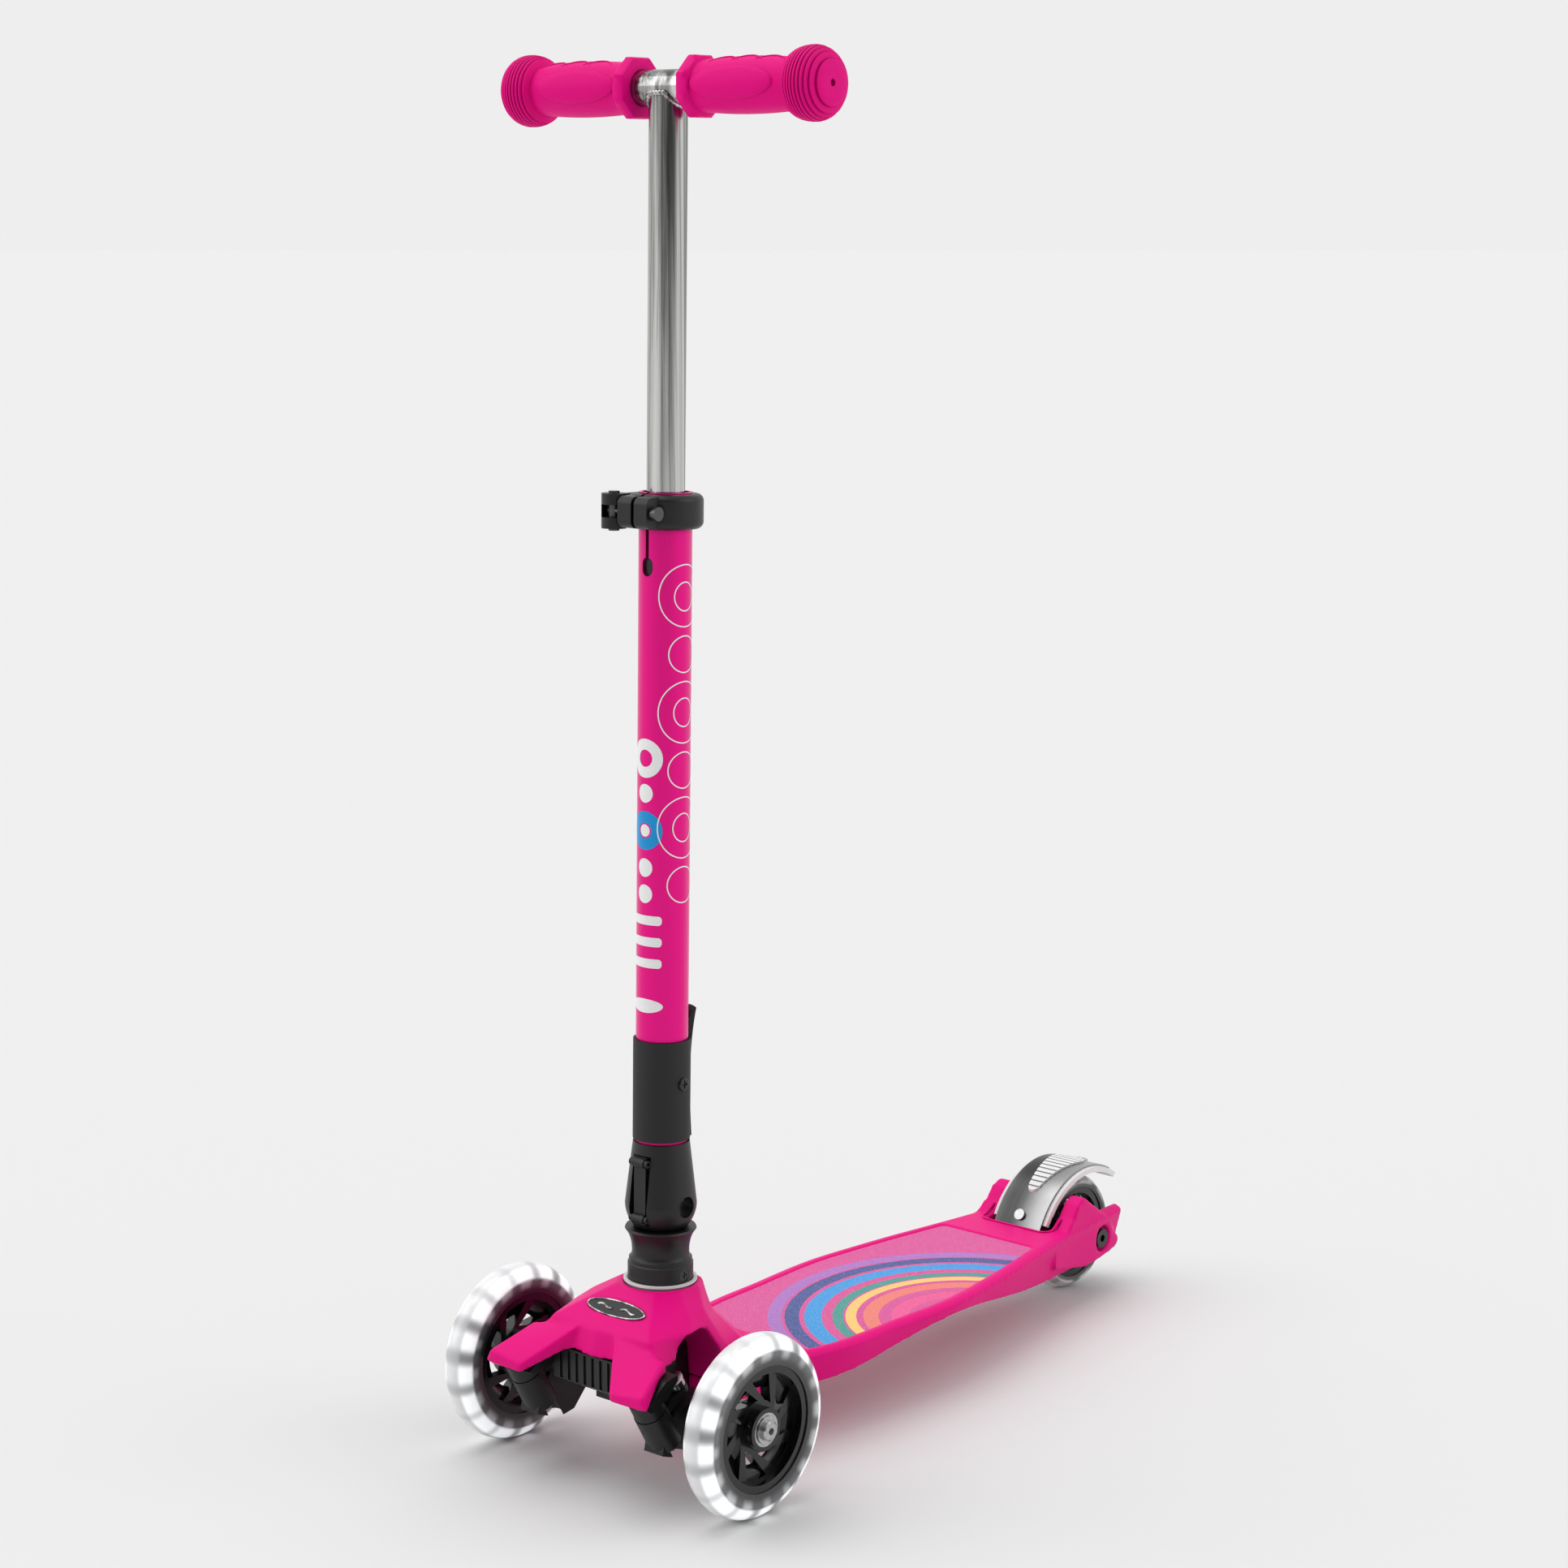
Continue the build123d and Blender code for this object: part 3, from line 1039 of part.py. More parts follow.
with BuildPart() as lock_plunger:
    with BuildSketch(stem.offset(PLUNGER_TIP)):
        Circle(PLUNGER_ROD_R)
    extrude(amount=PLUNGER_TOP - PLUNGER_TIP)
    with BuildSketch(stem.offset(PLUNGER_FOOT)):
        Circle(PLUNGER_R)
    extrude(amount=PLUNGER_TOP - PLUNGER_FOOT)
    with BuildSketch(stem_facing(PLUNGER_R - 5, SLEEVE_SCREW_S)):
        Circle(SLEEVE_SCREW_R)
    extrude(amount=40, mode=Mode.SUBTRACT)
finish(lock_plunger, "lock_plunger")

with BuildPart() as lock_spring:
    spring_foot = stem.from_local_coords(Vector(0, 0, PLUNGER_TOP + LOCK_SPRING_WIRE_R + GAP))
    spring_high = STOP_FOOT - PLUNGER_TOP - 2 * (LOCK_SPRING_WIRE_R + GAP)
    coil = Helix(spring_high / 5, spring_high, LOCK_SPRING_R, center=spring_foot, direction=stem.z_dir)
    with BuildSketch(Plane(origin=coil @ 0, z_dir=coil % 0)):
        Circle(LOCK_SPRING_WIRE_R)
    sweep(path=coil, is_frenet=True)
finish(lock_spring, "lock_spring")

# ================================================================ T-bar
CROSSBAR_WALL = 1.6
BAR_END = BAR_WIDTH / 2 - 9
GRIP_FOOT = 21.5
PLUG_HIGH = 12.0
upper_foot = TUBE_TOP - UPPER_TUBE_INSERTION
bar_centre = stem.from_local_coords(Vector(0, 0, BAR_HEIGHT))
bar_section = Plane(origin=bar_centre, x_dir=(1, 0, 0), z_dir=(0, -1, 0))
bar_axis = Axis(bar_centre, (1, 0, 0))


def bar_facing(x):
    """Plane square to the crossbar at x."""
    return Plane(origin=bar_centre + Vector(x, 0, 0), x_dir=(0, 1, 0), z_dir=(1, 0, 0))


with BuildPart() as upper_tube:
    with BuildSketch(stem.offset(upper_foot)):
        Circle(UPPER_TUBE_R)
        Circle(UPPER_TUBE_R - UPPER_TUBE_WALL, mode=Mode.SUBTRACT)
    extrude(amount=BAR_HEIGHT - 4 - upper_foot)
    with BuildSketch(bar_facing(-40)):
        Circle(CROSSBAR_R)
    extrude(amount=80, mode=Mode.SUBTRACT)
finish(upper_tube, "upper_tube")

with BuildPart() as crossbar:
    with BuildSketch(bar_facing(-BAR_END)):
        Circle(CROSSBAR_R)
        Circle(CROSSBAR_R - CROSSBAR_WALL, mode=Mode.SUBTRACT)
    extrude(amount=2 * BAR_END)
finish(crossbar, "crossbar")

with BuildPart() as bar_weld:
    with BuildSketch(stem_section):
        with BuildLine():
            Polyline([(UPPER_TUBE_R, BAR_HEIGHT - 15), (UPPER_TUBE_R + 0.6, BAR_HEIGHT - 14),
                      (UPPER_TUBE_R + 2.4, BAR_HEIGHT - 5), (UPPER_TUBE_R, BAR_HEIGHT - 5)], close=True)
        make_face()
    revolve(axis=stem_axis)
    with BuildSketch(bar_facing(-40)):
        Circle(CROSSBAR_R)
    extrude(amount=80, mode=Mode.SUBTRACT)
finish(bar_weld, "bar_weld")

with BuildPart() as tube_plug:
    with BuildSketch(stem.offset(upper_foot)):
        Circle(UPPER_TUBE_R - UPPER_TUBE_WALL)
    extrude(amount=PLUG_HIGH)
    with BuildSketch(stem.offset(upper_foot)):
        Circle(UPPER_TUBE_R - 0.4)
    extrude(amount=-1)
finish(tube_plug, "tube_plug")

# half profile of a grip, as (distance, radius): its hand part from the middle of the bar,
# its knob from the bar's end
GRIP_BODY = [(GRIP_FOOT + 9, 15.6), (48, 16.6), (75, 17.2), (96, 16.6), (104, 16.8)]
GRIP_KNOB = [(27, 16.8), (23, 20.4), (18, 22.3), (12, 22.4), (6, 19.5), (2, 14.5), (0, 8.5)]
for side_name, side in SIDES.items():
    with BuildPart() as grip:
        with BuildSketch(bar_section):
            with BuildLine():
                Polyline((side * GRIP_FOOT, 0), (side * GRIP_FOOT, 15.6), (side * GRIP_BODY[0][0], 15.6))
                Spline([(side * x, r) for x, r in GRIP_BODY])
                Spline([(side * (BAR_WIDTH / 2 - x), r) for x, r in GRIP_KNOB])
                Polyline((side * BAR_WIDTH / 2, 8.5), (side * BAR_WIDTH / 2, 0), (side * GRIP_FOOT, 0))
            make_face()
        revolve(axis=bar_axis)
        # faceted flange at the inner end
        with BuildSketch(bar_facing(side * GRIP_FOOT)):
            RegularPolygon(19.5, 8)
        extrude(amount=side * 9)
        chamfer(edges().filter_by(Axis.X, reverse=True).filter_by(GeomType.LINE), 1.4)
        with BuildSketch(bar_facing(side * GRIP_FOOT)):
            Circle(CROSSBAR_R)
        extrude(amount=side * (BAR_END - GRIP_FOOT), mode=Mode.SUBTRACT)
        with BuildSketch(bar_facing(side * (BAR_END - 1))):
            Circle(2.5)
        extrude(amount=side * 20, mode=Mode.SUBTRACT)
    finish(grip, f"grip_{side_name}")

# ================================================================ rear wheel and brake
AXLE_HEAD_R = 7.0
AXLE_HEAD = 4.0
hub(REAR_AXLE, REAR_HUB_R, 10.0, 27, "rear_hub")
tyre(REAR_AXLE, REAR_HUB_R, REAR_R, REAR_HUB_R, "rear_tyre")
bearings(REAR_AXLE, "rear_bearings")

with BuildPart() as rear_axle:
    horn_face = SLOT_HALF + HORN_WEB
    with BuildSketch(side_view(-horn_face)):
        with Locations((REAR_AXLE.Y, REAR_AXLE.Z)):
            Circle(AXLE_R)
    extrude(amount=2 * horn_face)
    for side in SIDES.values():
        # spacer beside the bearing, then the head in the horn's hole
        with BuildSketch(side_view(side * (HUB_BOSS_HALF + GAP))):
            with Locations((REAR_AXLE.Y, REAR_AXLE.Z)):
                Circle(AXLE_HEAD_R - 1)
        extrude(amount=side * (SLOT_HALF - HUB_BOSS_HALF - GAP))
        with BuildSketch(side_view(side * horn_face)):
            with Locations((REAR_AXLE.Y, REAR_AXLE.Z)):
                Circle(AXLE_HEAD_R)
        extrude(amount=side * AXLE_HEAD)
        with BuildSketch(side_view(side * (horn_face + AXLE_HEAD))):
            with Locations((REAR_AXLE.Y, REAR_AXLE.Z)):
                RegularPolygon(3, 6)
        extrude(amount=-side * 2.5, mode=Mode.SUBTRACT)
finish(rear_axle, "rear_axle")

brake_pivot = (REAR_Y - BRAKE_PIN_AHEAD, BRAKE_PIN_Z)
brake_centre = (REAR_Y - BRAKE_AHEAD, REAR_AXLE.Z - BRAKE_DROP)
PLATE_R = BRAKE_R - PLATE_THICKNESS
LINING_R = PLATE_R - LINING_THICKNESS
PAD_RISE = 1.4
BRAKE_RIVETS = (146.8, 67.0)             # angles of the two rivets on the arc
RIVET_R = 2.0
RIVET_HEAD_R = 4.2
BLOCK_HALF = 20.0


def arc_strip(inner_r, outer_r, start, end, half):
    """Face of a strip of the brake's arc between two angles, in side view at x of minus half."""
    with BuildSketch(side_view(-half)) as strip:
        with BuildLine():
            outer = CenterArc(brake_centre, outer_r, end, start - end)
            inner = CenterArc(brake_centre, inner_r, end, start - end)
            Line(outer @ 0, inner @ 0)
            Line(outer @ 1, inner @ 1)
        make_face()
    return strip.sketch


def rivet_plane(angle, radius):
    """Plane square to the brake's arc at an angle."""
    out = Vector(0, cos(radians(angle)), sin(radians(angle)))
    return Plane(origin=Vector(0, *brake_centre) + out * radius, x_dir=(1, 0, 0), z_dir=out)


# outline of the ribbed pad from above
with BuildSketch(Plane.XY) as pad_outline:
    with Locations((0, brake_centre[0] - 36)):
        Circle(5)
    with Locations((0, brake_centre[0] + 6)):
        Circle(13)
    make_hull()

with BuildPart() as brake_plate:
    add(arc_strip(PLATE_R, BRAKE_R, PLATE_FROM, PLATE_TO, PLATE_HALF))
    extrude(amount=2 * PLATE_HALF, dir=(1, 0, 0))
    # window of the pad
    with BuildSketch(Plane.XY.offset(brake_centre[1])):
        offset(pad_outline.sketch, amount=0.2)
    extrude(amount=BRAKE_R + 5, mode=Mode.SUBTRACT)
    for angle in BRAKE_RIVETS:
        with BuildSketch(rivet_plane(angle, PLATE_R - 1)):
            Circle(RIVET_R)
        extrude(amount=5, mode=Mode.SUBTRACT)
finish(brake_plate, "brake_plate")

with BuildPart() as brake_lining:
    add(arc_strip(LINING_R, PLATE_R, LINING_FROM, LINING_TO, LINING_HALF))
    extrude(amount=2 * LINING_HALF, dir=(1, 0, 0))
    for angle in BRAKE_RIVETS:
        with BuildSketch(rivet_plane(angle, LINING_R + 1)):
            Circle(RIVET_R)
        extrude(amount=5, mode=Mode.SUBTRACT)
finish(brake_lining, "brake_lining")

with BuildPart() as brake_pad:
    with BuildSketch(Plane.XY.offset(brake_centre[1])):
        add(pad_outline.sketch)
    extrude(amount=BRAKE_R + PAD_RISE + 5)
    add(arc_strip(PLATE_R, BRAKE_R + PAD_RISE, LINING_FROM, LINING_TO, PLATE_HALF))
    extrude(amount=2 * PLATE_HALF, dir=(1, 0, 0), mode=Mode.INTERSECT)
    # grooves between the ribs
    for index in range(13):
        with BuildSketch(rivet_plane(72 + 4.4 * index, BRAKE_R + PAD_RISE)):
            Rectangle(2 * PLATE_HALF, 1.5)
        extrude(amount=-1, mode=Mode.SUBTRACT)
finish(brake_pad, "brake_pad")

with BuildPart() as brake_rivets:
    for angle in BRAKE_RIVETS:
        with BuildSketch(rivet_plane(angle, LINING_R + 1)):
            Circle(RIVET_R)
        extrude(amount=BRAKE_R - LINING_R - 1 + 0.5)
        with BuildSketch(rivet_plane(angle, BRAKE_R + 0.15)):
            Circle(RIVET_HEAD_R)
        extrude(amount=1.8)
    fillet(faces().sort_by(Axis.Z)[-1].edges(), 1.2)
finish(brake_rivets, "brake_rivets")

with BuildPart() as brake_block:
    with BuildSketch(side_view(-BLOCK_HALF)):
        with BuildLine():
            front, low = brake_pivot[0] - 6, brake_pivot[1] - 6
            Polyline([(front, low + 2), (front, low + 18), (front + 16, low + 18), (front + 15, low + 2),
                      (front + 11, low), (front + 2, low)], close=True)
        make_face()
        with Locations(brake_pivot):
            Circle(BRAKE_PIN_R + RUNNING, mode=Mode.SUBTRACT)
    extrude(amount=2 * BLOCK_HALF)
    # the arc of the plate and lining rests on its upper face
    with BuildSketch(side_view()):
        with Locations(brake_centre):
            Circle(PLATE_R + 40)
            Circle(PLATE_R, mode=Mode.SUBTRACT)
    extrude(amount=BLOCK_HALF + 1, both=True, mode=Mode.SUBTRACT)
    add(arc_strip(LINING_R, PLATE_R + 1, LINING_FROM, LINING_TO, LINING_HALF))
    extrude(amount=2 * LINING_HALF, dir=(1, 0, 0), mode=Mode.SUBTRACT)
finish(brake_block, "brake_block")

with BuildPart() as brake_pin:
    with BuildSketch(side_view(-SLOT_HALF - 6)):
        with Locations(brake_pivot):
            Circle(BRAKE_PIN_R)
    extrude(amount=2 * SLOT_HALF + 12)
finish(brake_pin, "brake_pin")

with BuildPart() as brake_spring:
    start = Vector(BLOCK_HALF + 1.6, *brake_pivot)
    coil = Helix(1.4, 3.6, BRAKE_PIN_R + 1.1, center=start, direction=(1, 0, 0))
    with BuildSketch(Plane(origin=coil @ 0, z_dir=coil % 0)):
        Circle(0.6)
    sweep(path=coil, is_frenet=True)
finish(brake_spring, "brake_spring")
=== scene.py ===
"""A child's three-wheel kick scooter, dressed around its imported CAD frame, in metres."""

import logging
import math
from dataclasses import dataclass, field
from enum import Enum
from typing import Callable, Iterable, Sequence

import bmesh
import bpy
from mathutils import Matrix, Vector

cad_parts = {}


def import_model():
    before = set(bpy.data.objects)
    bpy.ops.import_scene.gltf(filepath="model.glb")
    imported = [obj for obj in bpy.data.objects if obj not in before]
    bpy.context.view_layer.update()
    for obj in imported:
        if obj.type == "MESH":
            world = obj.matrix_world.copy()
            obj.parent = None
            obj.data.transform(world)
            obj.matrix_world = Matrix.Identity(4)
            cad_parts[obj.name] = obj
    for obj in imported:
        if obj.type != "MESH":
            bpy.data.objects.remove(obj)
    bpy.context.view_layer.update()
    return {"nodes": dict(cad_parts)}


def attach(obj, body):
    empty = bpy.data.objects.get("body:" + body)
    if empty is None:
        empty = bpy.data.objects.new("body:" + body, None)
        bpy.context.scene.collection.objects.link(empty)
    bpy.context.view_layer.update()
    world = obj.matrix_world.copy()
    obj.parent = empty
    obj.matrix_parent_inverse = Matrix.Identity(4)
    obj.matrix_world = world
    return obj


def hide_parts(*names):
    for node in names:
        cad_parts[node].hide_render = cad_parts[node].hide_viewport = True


LOG = logging.getLogger("scooter")

# ------------------------------------------------------------------ places shared with the CAD frame
WHEELBASE = 0.4875
REAR_R = 0.0445
NOSE_REACH = 0.0618
FRONT_Y = -(WHEELBASE + REAR_R - NOSE_REACH) / 2
REAR_Y = FRONT_Y + WHEELBASE
FRONT_R = 0.060
WHEEL_X = 0.1056
RAKE = math.radians(1.15)
STEM_FOOT = Vector((0, FRONT_Y + 0.0273, 0))
STEM_UP = Vector((0, math.sin(RAKE), math.cos(RAKE)))
STEM_BACK = Vector((0, math.cos(RAKE), -math.sin(RAKE)))
BAR_S = 0.889
TUBE_R = 0.017
DECK_TOP = 0.0615


def stem_point(x: float, back: float, s: float) -> Vector:
    """Gives a point placed on the stem.

    Args:
        x: Distance to the right of the stem's axis.
        back: Distance behind the axis.
        s: Height along the stem.

    Returns:
        The point in the row's frame.
    """
    return STEM_FOOT + Vector((x, 0, 0)) + STEM_BACK * back + STEM_UP * s


def srgb(red: int, green: int, blue: int, alpha: float = 1.0) -> tuple[float, float, float, float]:
    """Turns an 8-bit display colour into linear light.

    Args:
        red: Red, 0 to 255.
        green: Green, 0 to 255.
        blue: Blue, 0 to 255.
        alpha: Opacity, 0 to 1.

    Returns:
        The linear colour with its alpha.
    """
    shares = [c / 255 for c in (red, green, blue)]
    linear = [c / 12.92 if c <= 10 / 255 else ((c + 0.055) / 1.055) ** 2.4 for c in shares]
    return (*linear, alpha)


# ------------------------------------------------------------------ shader groups
def node_group(name: str, inputs: dict[str, float], outputs: dict[str, str]) -> bpy.types.NodeTree:
    """Makes an empty shader group.

    Args:
        name: Name of the group.
        inputs: Float inputs and their defaults.
        outputs: Output names and their socket types.

    Returns:
        The group, with its input and output nodes named "in" and "out".
    """
    group = bpy.data.node_groups.new(name, "ShaderNodeTree")
    for key, value in inputs.items():
        group.interface.new_socket(key, in_out="INPUT", socket_type="NodeSocketFloat").default_value = value
    for key, kind in outputs.items():
        group.interface.new_socket(key, in_out="OUTPUT", socket_type=kind)
    group.nodes.new("NodeGroupInput").name = "in"
    group.nodes.new("NodeGroupOutput").name = "out"
    return group


def grain_group() -> bpy.types.NodeTree:
    """Makes the fine grain of moulded plastic and paint.

    Returns:
        A group with a height and a roughness that vary over the surface.
    """
    group = node_group("Grain", {"Scale": 900.0, "Roughness": 0.4, "Spread": 0.1},
                       {"Height": "NodeSocketFloat", "Roughness": "NodeSocketFloat"})
    nodes, links = group.nodes, group.links
    coords = nodes.new("ShaderNodeTexCoord")
    fine = nodes.new("ShaderNodeTexNoise")
    fine.inputs["Detail"].default_value = 3.0
    broad = nodes.new("ShaderNodeTexNoise")
    broad.inputs["Scale"].default_value = 14.0
    ramp = nodes.new("ShaderNodeMath")
    ramp.operation = "MULTIPLY_ADD"
    links.new(coords.outputs["Object"], fine.inputs["Vector"])
    links.new(coords.outputs["Object"], broad.inputs["Vector"])
    links.new(nodes["in"].outputs["Scale"], fine.inputs["Scale"])
    links.new(broad.outputs["Fac"], ramp.inputs[0])
    links.new(nodes["in"].outputs["Spread"], ramp.inputs[1])
    links.new(nodes["in"].outputs["Roughness"], ramp.inputs[2])
    links.new(fine.outputs["Fac"], nodes["out"].inputs["Height"])
    links.new(ramp.outputs[0], nodes["out"].inputs["Roughness"])
    return group


def streak_group() -> bpy.types.NodeTree:
    """Makes long streaks, as on brushed or drawn metal.

    Returns:
        A group with a mask that is stretched along one axis.
    """
    group = node_group("Streaks", {"Along": 4.0, "Across": 500.0},
                       {"Mask": "NodeSocketFloat"})
    nodes, links = group.nodes, group.links
    coords = nodes.new("ShaderNodeTexCoord")
    scale = nodes.new("ShaderNodeCombineXYZ")
    stretch = nodes.new("ShaderNodeVectorMath")
    stretch.operation = "MULTIPLY"
    noise = nodes.new("ShaderNodeTexNoise")
    noise.inputs["Scale"].default_value = 1.0
    noise.inputs["Detail"].default_value = 4.0
    links.new(nodes["in"].outputs["Across"], scale.inputs["X"])
    links.new(nodes["in"].outputs["Across"], scale.inputs["Y"])
    links.new(nodes["in"].outputs["Along"], scale.inputs["Z"])
    links.new(coords.outputs["Object"], stretch.inputs[0])
    links.new(scale.outputs[0], stretch.inputs[1])
    links.new(stretch.outputs[0], noise.inputs["Vector"])
    links.new(noise.outputs["Fac"], nodes["out"].inputs["Mask"])
    return group


class Group(Enum):
    """The shared shader groups."""

    GRAIN = "Grain"
    STREAKS = "Streaks"


class Shader:
    """One material under construction."""

    def __init__(self, name: str) -> None:
        """Starts an empty material with a Principled shader.

        Args:
            name: Name of the material.
        """
        self.material = bpy.data.materials.new(name)
        self.material.use_nodes = True
        self.tree = self.material.node_tree
        self.nodes = self.tree.nodes
        self.main = self.nodes["Principled BSDF"]

    def set(self, **values: object) -> None:
        """Sets sockets of the Principled shader.

        Args:
            values: Socket names, with underscores for spaces, and their values.
        """
        for key, value in values.items():
            self.main.inputs[key.replace("_", " ")].default_value = value

    def link(self, source: bpy.types.NodeSocket, target: bpy.types.NodeSocket) -> None:
        """Joins two sockets.

        Args:
            source: Output socket.
            target: Input socket.
        """
        self.tree.links.new(source, target)

    def group(self, which: Group, **values: float) -> bpy.types.Node:
        """Adds a shared group.

        Args:
            which: The group.
            values: Its inputs.

        Returns:
            The group's node.
        """
        node = self.nodes.new("ShaderNodeGroup")
        node.node_tree = bpy.data.node_groups[which.value]
        for key, value in values.items():
            node.inputs[key].default_value = value
        return node

    def math(self, operation: str, a: object, b: object = 0.0, c: object = 0.0) -> bpy.types.NodeSocket:
        """Adds a maths node.

        Args:
            operation: Its operation.
            a: First value or socket.
            b: Second value or socket.
            c: Third value or socket.

        Returns:
            Its output.
        """
        node = self.nodes.new("ShaderNodeMath")
        node.operation = operation
        for socket, value in zip(node.inputs, (a, b, c)):
            if isinstance(value, bpy.types.NodeSocket):
                self.link(value, socket)
            else:
                socket.default_value = value
        return node.outputs[0]

    def place(self) -> bpy.types.Node:
        """Adds the position in the row's frame, split into X, Y and Z.

        Returns:
            The node whose outputs are X, Y and Z.
        """
        coords = self.nodes.new("ShaderNodeTexCoord")
        split = self.nodes.new("ShaderNodeSeparateXYZ")
        self.link(coords.outputs["Object"], split.inputs[0])
        return split

    def step(self, value: bpy.types.NodeSocket, low: float, high: float) -> bpy.types.NodeSocket:
        """Turns a value into a smooth 0 to 1 step.

        Args:
            value: The value.
            low: Where the step starts.
            high: Where it ends.

        Returns:
            The step.
        """
        node = self.nodes.new("ShaderNodeMapRange")
        node.interpolation_type = "SMOOTHSTEP"
        node.inputs["From Min"].default_value = low
        node.inputs["From Max"].default_value = high
        self.link(value, node.inputs["Value"])
        return node.outputs["Result"]

    def mix(self, mask: bpy.types.NodeSocket, low: object, high: object) -> bpy.types.NodeSocket:
        """Mixes two colours.

        Args:
            mask: Share of the second colour.
            low: First colour or socket.
            high: Second colour or socket.

        Returns:
            The mixed colour.
        """
        node = self.nodes.new("ShaderNodeMix")
        node.data_type = "RGBA"
        self.link(mask, node.inputs["Factor"])
        for key, value in ((6, low), (7, high)):
            if isinstance(value, bpy.types.NodeSocket):
                self.link(value, node.inputs[key])
            else:
                node.inputs[key].default_value = value
        return node.outputs[2]

    def color(self, source: bpy.types.NodeSocket) -> None:
        """Feeds a colour into the shader.

        Args:
            source: Socket that gives the colour.
        """
        self.link(source, self.main.inputs["Base Color"])

    def rough(self, source: bpy.types.NodeSocket) -> None:
        """Feeds a roughness into the shader.

        Args:
            source: Socket that gives the roughness.
        """
        self.link(source, self.main.inputs["Roughness"])

    def radius(self, a: bpy.types.NodeSocket, b: bpy.types.NodeSocket) -> bpy.types.NodeSocket:
        """Gives the distance of a point from its middle.

        Args:
            a: Distance along one axis.
            b: Distance along the other.

        Returns:
            The distance.
        """
        return self.math("SQRT", self.math("ADD", self.math("MULTIPLY", a, a), self.math("MULTIPLY", b, b)))

    def bump(self, height: bpy.types.NodeSocket, strength: float, distance: float) -> None:
        """Feeds a height into the shader's normal.

        Args:
            height: Height over the surface.
            strength: Strength of the bump.
            distance: Depth of the bump.
        """
        node = self.nodes.new("ShaderNodeBump")
        node.inputs["Strength"].default_value = strength
        node.inputs["Distance"].default_value = distance
        self.link(height, node.inputs["Height"])
        self.link(node.outputs[0], self.main.inputs["Normal"])


@dataclass(frozen=True)
class Moulded:
    """A plain plastic, rubber or painted finish with a fine grain, and painted shade darkening its crevices.
    """

    name: str
    color: tuple[float, float, float, float]
    roughness: float = 0.4
    spread: float = 0.08
    metallic: float = 0.0
    coat: float = 0.0
    specular: float = 0.3
    grain: float = 900.0
    bump: float = 0.12
    variation: float = 0.92
    # share of the colour left in the painted shade of crevices
    crevice_shade: float = 0.45

    def build(self) -> bpy.types.Material:
        """Builds the finish.

        Returns:
            The material.
        """
        shader = Shader(self.name)
        shader.set(Metallic=self.metallic, Coat_Weight=self.coat, Coat_Roughness=0.15,
                   Specular_IOR_Level=self.specular)
        grain = shader.group(Group.GRAIN, Scale=self.grain, Roughness=self.roughness - self.spread / 2,
                             Spread=self.spread)
        shader.rough(grain.outputs["Roughness"])
        shade = tuple(c * self.variation for c in self.color[:3]) + (1.0,)
        # Painted shade: where ambient occlusion finds nearby surfaces, in crevices, grooves and recesses, the
        # colour turns to a darker copy.
        painted_crevice_shade = tuple(c * self.crevice_shade for c in self.color[:3]) + (1.0,)
        crevice_ao = shader.nodes.new("ShaderNodeAmbientOcclusion")
        crevice_ao.inputs["Distance"].default_value = 0.004
        crevice_ao.samples = 6
        body = shader.mix(grain.outputs["Height"], shade, self.color)
        unshaded_share = shader.step(crevice_ao.outputs["AO"], 0.25, 0.95)
        shader.color(shader.mix(unshaded_share, painted_crevice_shade, body))
        shader.bump(grain.outputs["Height"], self.bump, 0.0002)
        return shader.material


@dataclass(frozen=True)
class Metal:
    """A drawn or brushed bare metal with streaks along Z."""

    name: str
    dark: tuple[float, float, float, float]
    light: tuple[float, float, float, float]
    roughness: float = 0.2
    spread: float = 0.15
    along: float = 4.0
    across: float = 600.0

    def build(self) -> bpy.types.Material:
        """Builds the finish.

        Returns:
            The material.
        """
        shader = Shader(self.name)
        shader.set(Metallic=1.0)
        streaks = shader.group(Group.STREAKS, Along=self.along, Across=self.across)
        mask = streaks.outputs["Mask"]
        shader.color(shader.mix(mask, self.dark, self.light))
        shader.rough(shader.math("MULTIPLY_ADD", mask, self.spread, self.roughness))
        shader.bump(mask, 0.05, 0.0002)
        return shader.material


@dataclass(frozen=True)
class RainbowMat:
    """The gritty deck mat, printed with concentric coloured arcs."""

    name: str = "rainbow_mat"
    centre: tuple[float, float] = (0.0924, 0.0057)
    # (inner radius, outer radius, colour) of each arc
    arcs: tuple = (
        (0.1275, 0.1373, srgb(168, 112, 190)),
        (0.1155, 0.1255, srgb(66, 84, 146)),
        (0.1000, 0.1120, srgb(52, 152, 218)),
        (0.0850, 0.0925, srgb(62, 150, 140)),
        (0.0760, 0.0835, srgb(248, 198, 112)),
        (0.0606, 0.0712, srgb(232, 124, 110)),
        (0.0400, 0.0520, srgb(230, 84, 146)),
    )

    def build(self) -> bpy.types.Material:
        """Builds the printed mat.

        Returns:
            The material.
        """
        shader = Shader(self.name)
        place = shader.place()
        across = shader.math("SUBTRACT", place.outputs["X"], self.centre[0])
        along = shader.math("SUBTRACT", place.outputs["Y"], self.centre[1])
        radius = shader.radius(across, along)
        color: object = srgb(212, 78, 148)
        for inner, outer, paint in self.arcs:
            middle, half = (inner + outer) / 2, (outer - inner) / 2
            near = shader.math("ABSOLUTE", shader.math("SUBTRACT", radius, middle))
            color = shader.mix(shader.math("LESS_THAN", near, half), color, paint)
        grain = shader.group(Group.GRAIN, Scale=1500.0, Roughness=0.72, Spread=0.1)
        speck = shader.math("GREATER_THAN", grain.outputs["Height"], 0.60)
        pale = shader.math("MULTIPLY", speck, 0.30)
        shader.color(shader.mix(pale, color, srgb(250, 225, 238)))
        shader.rough(grain.outputs["Roughness"])
        shader.bump(grain.outputs["Height"], 0.5, 0.0006)
        return shader.material


